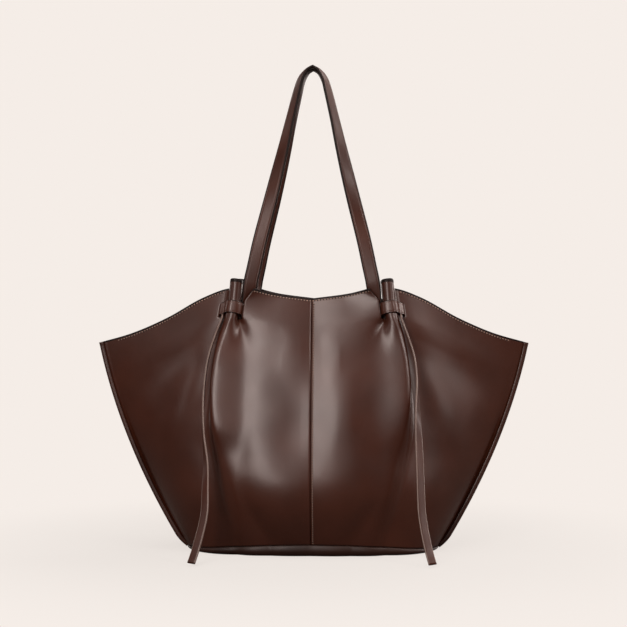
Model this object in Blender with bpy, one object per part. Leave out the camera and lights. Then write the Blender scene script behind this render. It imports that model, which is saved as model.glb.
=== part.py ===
"""Leather carryall bag: four half panels that pinch into standing pleats, two twisted strap handles and
four hanging ties.

All lengths are metres and Z is up. The bag stands on the floor at Z = 0 with its centre over the origin. Its
front faces -Y and its back mirrors its front. Most shapes are worked out once for the front right quarter, as
(x, depth, z) with depth measured forward from the middle plane, and then placed in each quarter.
"""

import math

import bmesh
import bpy
import numpy as np

# Overall sizes of the body
BASE_LENGTH = 0.300
TIP_SPAN = 0.494
CROWN_HEIGHT = 0.289
TIP_HEIGHT = 0.238
BELLY_DEPTH = 0.095
SIDE_BOW = 0.012
BASE_SEAM_HEIGHT = 0.013
BASE_END_HEIGHT = 0.0035

# Leather, seams and the clearance that touching pieces keep
LEATHER = 0.0016
JOIN_GAP = 0.0003
SIDE_FLANGE = 0.005
BINDING_THICKNESS = 0.0009
BINDING_WIDTH = 0.0034
BINDING_FOOT = 0.0008
FACING_THICKNESS = 0.0008
FACING_DROP = 0.015
BASE_INSET = 0.004
BOARD_THICKNESS = 0.0025
BOARD_CLEARANCE = 0.004

# Pleats and the keeper bands round them
PLEAT_WIDTH = 0.0358
PLEAT_TOP_X = 0.0857
PLEAT_RISE = 0.0105
PLEAT_SLANT = 0.0045
PLEAT_RIM_POWER = 6
KEEPER_DROP = 0.0215
KEEPER_BAND = 0.0145
KEEPER_THICKNESS = 0.0016
KEEPER_SLACK = 0.0006
KEEPER_LEAN = 0.34
SLOT_MARGIN = 0.0035
SLOT_FLARE = 0.0088
PATCH_STANDOFF = 0.0018
PATCH_THICKNESS = 0.0012
PATCH_OVERHANG = 0.0025
PATCH_HEIGHT = 0.022

# Handles
STRAP_WIDTH = 0.0165
STRAP_THICKNESS = 0.0032
TONGUE_THICKNESS = 0.0018
HANDLE_TOP_HEIGHT = 0.5575
HANDLE_LIFT = 0.0068
HANDLE_SPACING = 0.0214
STRAP_TURN_POWER = 1.6
TONGUE_FRONT_SHARE = 1 / 3

# Ties
TIE_WIDTH = 0.0095
TIE_THICKNESS = 0.0022
TIE_SPREAD = 0.0265
TIE_REACH = 0.1015
TIE_TIP_CLEARANCE = 0.0035

# Heights up a panel, from the base seam to the mouth, at which the shares below are set
HEIGHT_SHARES = (0.0, 0.15, 0.35, 0.6, 0.85, 1.0)
CENTRE_DEPTH_SHARES = (0.80, 0.947, 1.0, 0.865, 0.61, 0.442)
LIP_DEPTH_SHARES = (0.774, 0.905, 0.94, 0.81, 0.575, 0.497)
INNER_FOOT_DEPTH_SHARES = (0.775, 0.89, 0.905, 0.77, 0.475, 0.366)
OUTER_FOOT_DEPTH_SHARES = (0.70, 0.75, 0.72, 0.60, 0.455, 0.36)
PLEAT_X_SHARES = (0.77, 0.86, 1.04, 1.11, 1.082, 1.0)
WING_START_SHARES = (2.2, 2.1, 1.9, 1.6, 1.35, 1.25)
WING_END_SHARES = (0.5, 0.55, 0.62, 0.8, 0.95, 1.0)

# How far the pleat has opened from its pinched throat, as a turn of its arc in degrees each side
PLEAT_HEIGHT_SHARES = (0.0, 0.2, 0.35, 0.55, 0.7, 0.8, 0.88, 1.0)
PLEAT_TURN_DEGREES = (2.0, 8.0, 25.0, 55.0, 90.0, 120.0, 140.0, 140.0)

# Soft ridge that runs from each keeper down across the wing to the side seam
RIDGE_HEIGHT_SHARES = (0.0, 0.47, 0.865, 1.0)
RIDGE_PLACE_SHARES = (0.95, 0.8, 0.35, 0.12)
RIDGE_SIZE_SHARES = (0.0, 0.8, 0.3, 0.0)
RIDGE_SIZE = 0.006
RIDGE_BREADTH_SHARE = 0.25
RIDGE_FADE_POWER = 4

# Mouth edge, as shares of half the tip span and of the rise from the tips to the middle of the crown
MOUTH_X_SHARES = (0.0, 0.18, 0.27, 0.39, 0.5, 0.68, 0.85, 1.0)
MOUTH_RISE_SHARES = (1.0, 1.12, 1.22, 1.22, 1.03, 0.557, 0.207, 0.0)

# Handle legs from the hinge to the top, as shares of half the root span and of the rise
LEG_RISE_SHARES = (0.0, 0.068, 0.2, 0.404, 0.61, 0.75, 0.88, 0.945, 0.985, 1.0)
LEG_SPAN_SHARES = (1.0, 0.944, 0.843, 0.66, 0.484, 0.372, 0.262, 0.195, 0.1, 0.0)
LEG_TWIST_DEGREES = (0.0, 11.0, 23.0, 40.0, 53.0, 56.0, 61.0, 69.0, 81.0, 90.0)

# Ties from the hinge to the tip, as shares of the drop, the sideways spread and the forward reach. They are
# limp, so the ones on the right lie a little further out than the ones on the left
TIE_DROP_SHARES = (0.0, 0.065, 0.165, 0.27, 0.37, 0.49, 0.61, 0.71, 0.805, 0.893, 0.97, 1.0)
TIE_REACH_SHARES = (0.0, 0.055, 0.15, 0.25, 0.362, 0.49, 0.608, 0.70, 0.788, 0.875, 0.955, 1.0)
LEFT_TIE_SPREAD_SHARES = (0.0, 0.245, 0.536, 0.668, 0.694, 0.63, 0.487, 0.483, 0.49, 0.653, 0.857, 0.95)
RIGHT_TIE_SPREAD_SHARES = (0.0, 0.245, 0.555, 0.668, 0.67, 0.705, 0.75, 0.78, 0.82, 0.96, 1.14, 1.23)
LEFT_TIE_TWIST_DEGREES = (0.0, 0.0, 0.0, 0.0, 2.0, 12.0, 34.0, 54.0, 65.0, 70.0, 72.0, 74.0)
RIGHT_TIE_TWIST_DEGREES = (0.0, 0.0, 0.0, 4.0, 26.0, 54.0, 64.0, 69.0, 72.0, 72.0, 73.0, 74.0)

# Rim of the base panel, as shares of the seam's height and of the inset of the flat floor
RIM_SHARES = ((1.0, 0.0), (0.4, 0.0), (0.0, 1.0))

# Mesh divisions
CENTRE_COLUMNS = 5
PLEAT_COLUMNS = 10
WING_COLUMNS = 7
LOWER_ROWS = 10
FACING_ROWS = 2
BINDING_STATIONS = 12
LEG_STATIONS = 15
TIE_STATIONS = 20
END_STEPS = 3
OUTLINE_PLEAT_COLUMNS = 4
KEEPER_ARC_POINTS = 6
SLACK_ARC_DEGREES = (66.0, 42.0, 18.0, -4.0)
PATCH_STATIONS = 3
STRAP_TURN_STATIONS = 7
STRAP_TONGUE_STATIONS = 4

# Sizes that follow from the ones above
MAIN_TURN = math.radians(PLEAT_TURN_DEGREES[-1])
PLEAT_RADIUS = PLEAT_WIDTH / (2 * MAIN_TURN)
SEAM_DEPTH = LEATHER + JOIN_GAP / 2
SLIT_WIDTH = KEEPER_THICKNESS + 2 * KEEPER_SLACK
SLOT_REACH = PLEAT_RADIUS + TONGUE_THICKNESS + KEEPER_THICKNESS + 2 * JOIN_GAP + KEEPER_SLACK
SLIT_REACH = PLEAT_RADIUS + TIE_THICKNESS + 2 * JOIN_GAP + SLIT_WIDTH
FOOT_MARGIN = 2 * LEATHER
TIE_RADIUS = TIE_WIDTH / 2


def smooth_through(knots, values, at):
    """Cubic curve through the given values, with each knot's slope taken from its neighbours."""
    knots = np.asarray(knots, float)
    values = np.asarray(values, float)
    at = np.clip(np.asarray(at, float), knots[0], knots[-1])
    slopes = np.gradient(values, knots)
    left = np.clip(np.searchsorted(knots, at, side="right") - 1, 0, len(knots) - 2)
    span = knots[left + 1] - knots[left]
    t = (at - knots[left]) / span
    rise = t * t * (3 - 2 * t)
    bend_in = t * (1 - t) ** 2
    bend_out = t * t * (t - 1)
    level = values[left] * (1 - rise) + values[left + 1] * rise
    return level + span * (slopes[left] * bend_in + slopes[left + 1] * bend_out)


def mouth_height(x):
    """Height of the mouth edge at a distance x from the centre seam."""
    share = smooth_through(MOUTH_X_SHARES, MOUTH_RISE_SHARES, np.abs(x) / (TIP_SPAN / 2))
    return TIP_HEIGHT + share * (CROWN_HEIGHT - TIP_HEIGHT)


def base_seam_height(x):
    """Height of the seam between panel and base, highest at the centre and low at the ends."""
    share = np.clip(np.abs(x) / (BASE_LENGTH / 2), 0, 1)
    return BASE_END_HEIGHT + (BASE_SEAM_HEIGHT - BASE_END_HEIGHT) * (1 - share**2)


def side_half_width(height_share):
    """Distance of the side edge from the centre: a straight taper with a bow."""
    straight = BASE_LENGTH / 2 + (TIP_SPAN - BASE_LENGTH) / 2 * height_share
    return straight + 4 * SIDE_BOW * height_share * (1 - height_share)


def panel_depth(shares, height_share):
    return BELLY_DEPTH * smooth_through(HEIGHT_SHARES, shares, height_share)


def pleat_turn(height_share):
    return np.radians(smooth_through(PLEAT_HEIGHT_SHARES, PLEAT_TURN_DEGREES, height_share))


def pleat_x(height_share):
    return PLEAT_TOP_X * smooth_through(HEIGHT_SHARES, PLEAT_X_SHARES, height_share)


def pleat_half_foot(height_share):
    """Half the distance between the pleat's two feet: its leather is an arc of constant length."""
    turn = pleat_turn(height_share)
    return PLEAT_WIDTH / 2 * np.sin(turn) / turn


def wing_depth(share, height_share):
    """Depth of the wing at a share of the way from the pleat's outer foot to the side seam."""
    start = smooth_through(HEIGHT_SHARES, WING_START_SHARES, height_share)
    end = smooth_through(HEIGHT_SHARES, WING_END_SHARES, height_share)
    foot = panel_depth(OUTER_FOOT_DEPTH_SHARES, height_share)
    fall = (1 - np.clip(share, 0, 1) ** start) ** end
    place = smooth_through(RIDGE_HEIGHT_SHARES, RIDGE_PLACE_SHARES, height_share)
    size = RIDGE_SIZE * smooth_through(RIDGE_HEIGHT_SHARES, RIDGE_SIZE_SHARES, height_share)
    ridge = size * np.exp(-(((share - place) / RIDGE_BREADTH_SHARE) ** 2)) * (1 - share**RIDGE_FADE_POWER)
    ridge = ridge * np.clip(share / RIDGE_BREADTH_SHARE, 0, 1)
    return SEAM_DEPTH + (foot - SEAM_DEPTH) * fall + ridge


def height_share_of(z):
    """The height share at which the pleat reaches a height z, below the stretch that stands above the mouth."""
    low = base_seam_height(pleat_x(0.0))
    return (z - low) / (mouth_height(PLEAT_TOP_X) - low)


KEEPER_CENTRE_HEIGHT = float(mouth_height(PLEAT_TOP_X)) - KEEPER_DROP
SLOT_LOW = KEEPER_CENTRE_HEIGHT - KEEPER_BAND / 2 - SLOT_MARGIN
SLOT_HIGH = KEEPER_CENTRE_HEIGHT + KEEPER_BAND / 2 + SLOT_MARGIN
SLOT_LOW_SHARE = float(height_share_of(SLOT_LOW))
SLOT_HIGH_SHARE = float(height_share_of(SLOT_HIGH))


def lip_x(height_share):
    """Edge of the centre panel beside the pleat: close to it at the keeper and flared at the mouth."""
    above = np.clip((height_share - SLOT_HIGH_SHARE) / (1 - SLOT_HIGH_SHARE), 0, 1)
    reach = np.maximum(SLOT_REACH, pleat_half_foot(height_share) + FOOT_MARGIN)
    return pleat_x(height_share) - reach - SLOT_FLARE * above


def slit_x(height_share):
    """Near edge of the slit on the wing side of the pleat."""
    reach = np.maximum(SLIT_REACH, pleat_half_foot(height_share) + FOOT_MARGIN)
    return pleat_x(height_share) + reach


def centre_columns(rows, columns):
    """Centre stretch of the panel, from the centre seam to the lip beside the pleat."""
    share = np.linspace(0, 1, columns + 1)[None, :]
    start = JOIN_GAP / 2
    x = start + share * (lip_x(rows) - start)
    centre = panel_depth(CENTRE_DEPTH_SHARES, rows)
    lip = panel_depth(LIP_DEPTH_SHARES, rows)
    depth = centre + (lip - centre) * share**2
    top = mouth_height(start + share * (lip_x(1.0) - start))
    low = base_seam_height(start + share * (lip_x(0.0) - start))
    return x, depth, low + rows * (top - low)


def pleat_columns(rows, columns):
    """Pleat, from its inner foot to its outer foot: an arc that opens from a tube into a low swell.

    Above the keeper the tube stands proud of the mouth, and its rim slants down towards the centre.
    """
    turn_share = np.linspace(-1, 1, columns + 1)[None, :]
    turn = pleat_turn(rows)
    half = pleat_half_foot(rows)
    inner = panel_depth(INNER_FOOT_DEPTH_SHARES, rows)
    outer = panel_depth(OUTER_FOOT_DEPTH_SHARES, rows)
    tilt = (outer - inner) / 2
    chord = np.hypot(half, tilt)
    radius = chord / np.sin(turn)
    along = radius * np.sin(turn * turn_share)
    forward = radius * (np.cos(turn * turn_share) - np.cos(turn))
    x = pleat_x(rows) + (along * half - forward * tilt) / chord
    depth = (inner + outer) / 2 + (along * tilt + forward * half) / chord
    low = base_seam_height(pleat_x(0.0) + pleat_half_foot(0.0) * turn_share)
    above = np.clip((rows - SLOT_HIGH_SHARE) / (1 - SLOT_HIGH_SHARE), 0, 1)
    slant = PLEAT_SLANT / 2 * turn_share * (1 - np.abs(turn_share))
    rise = PLEAT_RISE * (1 - np.abs(turn_share) ** PLEAT_RIM_POWER) + slant
    return x, depth, low + rows * (mouth_height(PLEAT_TOP_X) - low) + above * rise


def wing_columns(rows, columns):
    """Wing, from the slit beside the pleat to the side seam, with its flat flange last."""
    foot = pleat_x(rows) + pleat_half_foot(rows)
    seam = side_half_width(rows) - SIDE_FLANGE
    share = np.linspace(0, 1, columns + 1)[None, :]
    bunched = 1 - (1 - share) ** (1 / smooth_through(HEIGHT_SHARES, WING_END_SHARES, rows))
    near = slit_x(rows)
    far = near + SLIT_WIDTH
    x = np.concatenate([near, far + (seam - far) * bunched], axis=1)
    depth = wing_depth((x - foot) / (seam - foot), rows)
    x = np.concatenate([x, seam + SIDE_FLANGE], axis=1)
    depth = np.concatenate([depth, depth[:, -1:]], axis=1)
    top = mouth_height(edge_x(1.0, columns))
    low = base_seam_height(edge_x(0.0, columns))
    return x, depth, low + rows * (top - low)


def edge_x(height_share, columns):
    """Where the wing's columns meet the mouth or the base seam."""
    rows = np.array([[height_share]])
    seam = side_half_width(rows) - SIDE_FLANGE
    near = slit_x(rows)
    far = near + SLIT_WIDTH
    share = np.linspace(0, 1, columns + 1)[None, :]
    bunched = 1 - (1 - share) ** (1 / smooth_through(HEIGHT_SHARES, WING_END_SHARES, rows))
    return np.concatenate([near, far + (seam - far) * bunched, seam + SIDE_FLANGE], axis=1)


def stacked(x, depth, z):
    return np.stack(np.broadcast_arrays(x, depth, z), axis=-1)


def panel_rows():
    lower = np.linspace(0, SLOT_LOW_SHARE, LOWER_ROWS + 1)
    middle = (SLOT_LOW_SHARE + SLOT_HIGH_SHARE) / 2
    upper = (SLOT_HIGH_SHARE + 1) / 2
    return np.concatenate([lower, [middle, SLOT_HIGH_SHARE, upper, 1]])[:, None]


def panel_grid():
    """Outer surface of a half panel as rows and columns of points, and the cells of it that are leather."""
    rows = panel_rows()
    centre = stacked(*centre_columns(rows, CENTRE_COLUMNS))
    pleat = stacked(*pleat_columns(rows, PLEAT_COLUMNS))
    wing = stacked(*wing_columns(rows, WING_COLUMNS))
    grid = np.concatenate([centre, pleat, wing], axis=1)
    leather = np.ones((grid.shape[0] - 1, grid.shape[1] - 1), bool)
    heights = (rows[:-1, 0] + rows[1:, 0]) / 2
    slot = centre.shape[1] - 1
    slit = centre.shape[1] + pleat.shape[1]
    leather[heights > SLOT_LOW_SHARE, slot] = False
    leather[(heights > SLOT_LOW_SHARE) & (heights < SLOT_HIGH_SHARE), slit] = False
    return grid, leather


def grid_normals(grid):
    """Unit normals of a grid of (x, depth, z) points, facing away from the inside of the bag."""
    along = np.gradient(grid, axis=1)
    up = np.gradient(grid, axis=0)
    normals = np.cross(up, along)
    normals /= np.linalg.norm(normals, axis=2, keepdims=True)
    return normals


def inward(grid, distance):
    """The same grid moved into the bag by a distance."""
    return grid - grid_normals(grid) * distance


def placed(points, side, face):
    """Points of the front right quarter in world axes: side is -1 or 1, and face is -1 at the front."""
    return np.asarray(points) * (side, face, 1)


def leather_material(name, colour, roughness):
    material = bpy.data.materials.new(name)
    material.use_nodes = True
    shader = material.node_tree.nodes["Principled BSDF"]
    shader.inputs["Base Color"].default_value = (*colour, 1.0)
    shader.inputs["Roughness"].default_value = roughness
    shader.inputs["Metallic"].default_value = 0.0
    return material


def add_piece(name, points, faces, material, origin=(0.0, 0.0, 0.0)):
    """A mesh object whose points are given in world axes and whose origin lies at a chosen point."""
    mesh = bpy.data.meshes.new(name)
    mesh.from_pydata((np.asarray(points) - origin).tolist(), [], faces)
    cleaned = bmesh.new()
    cleaned.from_mesh(mesh)
    bmesh.ops.delete(cleaned, geom=[v for v in cleaned.verts if not v.link_faces], context="VERTS")
    bmesh.ops.recalc_face_normals(cleaned, faces=cleaned.faces)
    cleaned.to_mesh(mesh)
    cleaned.free()
    mesh.materials.append(material)
    mesh.shade_smooth()
    piece = bpy.data.objects.new(name, mesh)
    piece.location = origin
    piece.parent = bag
    bpy.context.scene.collection.objects.link(piece)
    return piece


def grid_faces(cells, closed=False):
    """Quads between neighbouring points of a grid, for the cells that are there."""
    rows, columns = cells.shape
    width = columns if closed else columns + 1
    faces = []
    for row in range(rows):
        for column in range(columns):
            if cells[row, column]:
                after = (column + 1) % width
                start = row * width
                faces.append((start + column, start + after, start + width + after, start + width + column))
    return faces


def thicken(piece, thickness, offset):
    solidify = piece.modifiers.new("Thickness", "SOLIDIFY")
    solidify.thickness = thickness
    solidify.offset = offset


def add_sheet(name, grid, cells, thickness, material, side, face):
    """A sheet of even thickness behind a grid of points, in one quarter of the bag."""
    faces = grid_faces(cells)
    if side * face < 0:
        faces = [quad[::-1] for quad in faces]
    piece = add_piece(name, placed(grid, side, face).reshape(-1, 3), faces, material)
    out_of_bag = sum((polygon.normal.y * face for polygon in piece.data.polygons), 0.0)
    thicken(piece, thickness, -1.0 if out_of_bag > 0 else 1.0)
    return piece


def add_loft(name, sections, material, origin=(0.0, 0.0, 0.0)):
    """A solid skinned over closed sections that have equally many points, with flat ends."""
    sections = np.asarray(sections)
    count = sections.shape[1]
    faces = grid_faces(np.ones((len(sections) - 1, count), bool), closed=True)
    last = (len(sections) - 1) * count
    faces.append(tuple(range(count)))
    faces.append(tuple(range(last, last + count)))
    return add_piece(name, sections.reshape(-1, 3), faces, material, origin)


def strap_sections(centres, across, through, width, thickness):
    """Rectangular sections of a strap: width along one direction and thickness along the other."""
    half_width = np.asarray(width).reshape(-1, 1) / 2 * across
    half_thickness = np.asarray(thickness).reshape(-1, 1) / 2 * through
    corners = [
        centres + half_width + half_thickness,
        centres + half_width - half_thickness,
        centres - half_width - half_thickness,
        centres - half_width + half_thickness,
    ]
    return np.stack(corners, axis=1)


def unit(vectors):
    return vectors / np.linalg.norm(vectors, axis=-1, keepdims=True)


def slit_middle(z):
    """x of the slit's middle at a height z."""
    low = base_seam_height(slit_x(0.0))
    share = (z - low) / (mouth_height(slit_x(1.0)) - low)
    return slit_x(share) + SLIT_WIDTH / 2


def pleat_axis(z):
    """(x, depth) of the tube's centre line at a height z, beside the keeper."""
    share = height_share_of(z)
    inner = panel_depth(INNER_FOOT_DEPTH_SHARES, share)
    outer = panel_depth(OUTER_FOOT_DEPTH_SHARES, share)
    return pleat_x(share), (inner + outer) / 2 - PLEAT_RADIUS * math.cos(MAIN_TURN)


def beside_pleat(outward, forward, z):
    """A point given by its distances outward and forward from the tube's centre line at a height z."""
    x, depth = pleat_axis(np.asarray(z, float))
    return stacked(x + outward, depth + forward, z)


def keeper_tilt():
    """(sideways, forward) slopes of the band: square to the pleat sideways, and higher at its front."""
    low, high = pleat_axis(SLOT_LOW)[0], pleat_axis(SLOT_HIGH)[0]
    return (low - high) / (SLOT_HIGH - SLOT_LOW), KEEPER_LEAN


BACK_REACH = PLEAT_RADIUS * -math.cos(MAIN_TURN) + LEATHER + JOIN_GAP + PATCH_STANDOFF + KEEPER_THICKNESS / 2
INNER_LEG = PLEAT_RADIUS + TONGUE_THICKNESS + 2 * JOIN_GAP + KEEPER_THICKNESS / 2
OUTER_LEG = float(slit_middle(KEEPER_CENTRE_HEIGHT) - pleat_axis(KEEPER_CENTRE_HEIGHT)[0])
FRONT_REACH = PLEAT_RADIUS + JOIN_GAP + KEEPER_THICKNESS / 2
TONGUE_FRONT = PLEAT_RADIUS * TONGUE_FRONT_SHARE
TONGUE_BACK = -(BACK_REACH - KEEPER_THICKNESS / 2 - JOIN_GAP) + KEEPER_THICKNESS / 2


def keeper_path():
    """The band's closed route round pleat and strap end, as (outward, forward) distances."""
    shoulder = TONGUE_FRONT - JOIN_GAP
    sweep = np.linspace(0, math.pi / 2, KEEPER_ARC_POINTS)
    inner = [(-INNER_LEG * math.cos(a), shoulder + (FRONT_REACH - shoulder) * math.sin(a)) for a in sweep]
    clear = FRONT_REACH + KEEPER_SLACK
    outer = [(clear * math.cos(a), clear * math.sin(a)) for a in np.radians(SLACK_ARC_DEGREES)]
    panel_front = -(BACK_REACH - KEEPER_THICKNESS / 2 - JOIN_GAP - LEATHER - KEEPER_THICKNESS)
    corner = KEEPER_THICKNESS
    back = [
        (OUTER_LEG, panel_front),
        (OUTER_LEG, corner - BACK_REACH),
        (OUTER_LEG - corner, -BACK_REACH),
        (0.0, -BACK_REACH),
        (corner - INNER_LEG, -BACK_REACH),
        (-INNER_LEG, corner - BACK_REACH),
    ]
    return np.array(inner + outer + back)


def add_keeper(name, material, side, face):
    path = keeper_path()
    sideways, forward = keeper_tilt()
    middle = KEEPER_CENTRE_HEIGHT + path[:, 0] * sideways + path[:, 1] * forward
    edges = [beside_pleat(path[:, 0], path[:, 1], middle + half) for half in (-KEEPER_BAND / 2, KEEPER_BAND / 2)]
    cells = np.ones((1, len(path)), bool)
    points = placed(np.stack(edges), side, face).reshape(-1, 3)
    piece = add_piece(name, points, grid_faces(cells, closed=True), material)
    thicken(piece, KEEPER_THICKNESS, 0.0)
    return piece


def add_patch(name, material, side, face):
    """The reinforcement behind the keeper, which its ends and the strap end are sewn to."""
    near = -(BACK_REACH + KEEPER_THICKNESS / 2 + JOIN_GAP)
    sections = []
    for z in np.linspace(-PATCH_HEIGHT / 2, PATCH_HEIGHT / 2, PATCH_STATIONS) + KEEPER_CENTRE_HEIGHT:
        inner = -INNER_LEG - PATCH_OVERHANG
        outer = OUTER_LEG + PATCH_OVERHANG
        corners = [(inner, near), (outer, near), (outer, near - PATCH_THICKNESS), (inner, near - PATCH_THICKNESS)]
        sections.append([beside_pleat(outward, forward, z) for outward, forward in corners])
    return add_loft(name, placed(sections, side, face), material)


HINGE_Z = float(mouth_height(lip_x(1.0))) + HANDLE_LIFT
HINGE_X = PLEAT_TOP_X - PLEAT_RADIUS - JOIN_GAP - STRAP_WIDTH / 2
HINGE_DEPTH = float(panel_depth(LIP_DEPTH_SHARES, 1.0)) - LEATHER - JOIN_GAP
STRAP_DEPTH = HINGE_DEPTH - STRAP_THICKNESS / 2


def handle_sections():
    """The handle from its right end over the top to its left end, with its face turning out to the sides."""
    share = np.linspace(0, 1, LEG_STATIONS + 1)
    length = np.linspace(0, 1, len(LEG_RISE_SHARES))
    rise = smooth_through(length, LEG_RISE_SHARES, share)
    x = HINGE_X * smooth_through(length, LEG_SPAN_SHARES, share)
    twist = np.radians(smooth_through(length, LEG_TWIST_DEGREES, share))[:, None]
    bottom = HINGE_Z + JOIN_GAP / 2
    depth = STRAP_DEPTH + (HANDLE_SPACING / 2 - STRAP_DEPTH) * rise
    centres = stacked(x, depth, bottom + rise * (HANDLE_TOP_HEIGHT - STRAP_THICKNESS / 2 - bottom))
    tangent = np.gradient(centres, axis=0)
    tangent[-1] = (-1, 0, 0)
    tangent = unit(tangent)
    forward = unit(np.array((0, 1, 0)) - tangent[:, 1:2] * tangent)
    outward = np.cross(forward, tangent)
    across = outward * np.cos(twist) - forward * np.sin(twist)
    through = forward * np.cos(twist) + outward * np.sin(twist)
    across[0] = (1, 0, 0)
    through[0] = (0, 1, 0)
    right = strap_sections(centres, across, through, STRAP_WIDTH, STRAP_THICKNESS)
    left = right[:-1][::-1] * (-1, 1, 1)
    return np.concatenate([right, left])


def add_handle(name, material, face):
    origin = (0.0, face * HINGE_DEPTH, HINGE_Z)
    return add_loft(name, placed(handle_sections(), 1, face), material, origin)


def strap_end_sections():
    """The strap's fixed end, which passes behind the lip, turns edge on beside the tube and enters the slot.

    It grows thinner and narrower on the way, and no part of it lies further out than the tube's near side.
    """
    inside = np.linspace(SLOT_HIGH, SLOT_LOW + SLOT_MARGIN, STRAP_TONGUE_STATIONS)
    above = np.linspace(HINGE_Z - JOIN_GAP / 2, SLOT_HIGH, STRAP_TURN_STATIONS)
    z = np.concatenate([above, inside[1:]])
    bend = np.clip((above[0] - z) / (above[0] - SLOT_HIGH), 0, 1)
    angle = bend**STRAP_TURN_POWER * math.pi / 2
    width = STRAP_WIDTH + (TONGUE_FRONT - TONGUE_BACK - STRAP_WIDTH) * bend
    thickness = STRAP_THICKNESS + (TONGUE_THICKNESS - STRAP_THICKNESS) * bend
    x, axis_depth = pleat_axis(z)
    edge_x = x - PLEAT_RADIUS - JOIN_GAP - thickness / 2 * np.sin(angle)
    edge_depth = STRAP_DEPTH + (axis_depth + TONGUE_FRONT - STRAP_DEPTH) * bend
    across = np.stack([np.cos(angle), np.sin(angle), 0 * angle], axis=1)
    through = np.stack([-np.sin(angle), np.cos(angle), 0 * angle], axis=1)
    centres = stacked(edge_x, edge_depth, z) - across * width[:, None] / 2
    return strap_sections(centres, across, through, width, thickness)


def tie_root():
    """The tie's hinge: the middle of its rounded top, tucked under the keeper on the pleat's outer side."""
    sideways, forward = keeper_tilt()
    outward = PLEAT_RADIUS + JOIN_GAP + TIE_THICKNESS
    drop = KEEPER_BAND / 2 + TIE_RADIUS * (1 + abs(forward)) + 2 * JOIN_GAP
    z = KEEPER_CENTRE_HEIGHT - drop + outward * sideways
    x, depth = pleat_axis(z)
    wing = wing_front(x + outward, z)
    return np.array((x + outward, wing + JOIN_GAP + TIE_RADIUS + LEATHER / 2, z))


def wing_front(x, z):
    """Depth of the wing's outer surface at (x, z), close to the pleat."""
    share = height_share_of(z)
    foot = pleat_x(share) + pleat_half_foot(share)
    seam = side_half_width(share) - SIDE_FLANGE
    return float(wing_depth((x - foot) / (seam - foot), share))


def tie_sections(root, spread_shares, twist_degrees):
    """The tie from its rounded top to its square tip: edge on beside the pleat, turning its face forward below."""
    drop = np.linspace(0, 1, TIE_STATIONS + 1)
    spread = smooth_through(TIE_DROP_SHARES, spread_shares, drop)
    reach = smooth_through(TIE_DROP_SHARES, TIE_REACH_SHARES, drop)
    twist = np.radians(smooth_through(TIE_DROP_SHARES, twist_degrees, drop))[:, None]
    fall = root[2] - TIE_TIP_CLEARANCE
    centres = stacked(root[0] + TIE_SPREAD * spread, root[1] + TIE_REACH * reach, root[2] - fall * drop)
    tangent = unit(np.gradient(centres, axis=0))
    facing = np.array((0, 1.0, 0)) * np.cos(twist) - np.array((1.0, 0, 0)) * np.sin(twist)
    across = unit(facing - np.einsum("ij,ij->i", facing, tangent)[:, None] * tangent)
    through = np.cross(tangent, across)
    across[0] = (0, 1, 0)
    through[0] = (1, 0, 0)
    through *= np.sign(through[:, 0:1] + through[:, 1:2])
    body = strap_sections(centres, across, through, TIE_WIDTH, TIE_THICKNESS)
    ends = []
    for step in range(END_STEPS, 0, -1):
        angle = math.pi / 2 * step / (END_STEPS + 1)
        centre = centres[:1] + np.array((0, 0, TIE_RADIUS * math.sin(angle)))
        narrow = TIE_WIDTH * math.cos(angle)
        ends.append(strap_sections(centre, across[:1], through[:1], narrow, TIE_THICKNESS))
    return np.concatenate(ends + [body])


def add_binding(name, material, side):
    """A folded strip over the flanges of both panels, from just above the floor to the tip of the wing."""
    share = np.linspace(0, 1, BINDING_STATIONS + 1)
    x = side_half_width(share)
    z = BINDING_FOOT + (TIP_HEIGHT - BINDING_FOOT) * share
    edge = stacked(x, 0 * x, z)
    tangent = unit(np.gradient(edge, axis=0))
    outward = np.stack([tangent[:, 2], 0 * x, -tangent[:, 0]], axis=1)
    inner_half = SEAM_DEPTH + JOIN_GAP
    outer_half = inner_half + BINDING_THICKNESS
    inner_out = JOIN_GAP
    outer_out = JOIN_GAP + BINDING_THICKNESS
    back = JOIN_GAP - BINDING_WIDTH
    profile = [
        (back, outer_half),
        (outer_out, outer_half),
        (outer_out, -outer_half),
        (back, -outer_half),
        (back, -inner_half),
        (inner_out, -inner_half),
        (inner_out, inner_half),
        (back, inner_half),
    ]
    sections = [edge + outward * out + np.array((0, 1.0, 0)) * depth for out, depth in profile]
    return add_loft(name, placed(np.stack(sections, axis=1), side, 1), material)


def base_outline():
    """The base seam as a closed loop of points, the whole way round."""
    rows = np.zeros((1, 1))
    centre = stacked(*centre_columns(rows, CENTRE_COLUMNS))[0]
    pleat = stacked(*pleat_columns(rows, OUTLINE_PLEAT_COLUMNS))[0]
    wing = stacked(*wing_columns(rows, WING_COLUMNS))[0]
    quarter = np.concatenate([centre, pleat, wing[:-1]])
    quarter[:, 0] = np.where(quarter[:, 0] < JOIN_GAP, 0, quarter[:, 0])
    front = np.concatenate([(quarter * (-1, 1, 1))[::-1], quarter[1:]])
    back = front[::-1] * (1, -1, 1)
    return np.concatenate([front, back])


def loop_inset(loop, distance):
    """A closed loop moved in by a distance, square to itself in plan."""
    tangent = np.roll(loop, -1, axis=0) - np.roll(loop, 1, axis=0)
    outward = unit(np.stack([tangent[:, 1], -tangent[:, 0], 0 * tangent[:, 0]], axis=1))
    middle = loop.mean(axis=0)
    facing = np.sign(np.einsum("ij,ij->i", outward[:, :2], (loop - middle)[:, :2]).sum())
    return loop - outward * facing * distance


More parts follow.
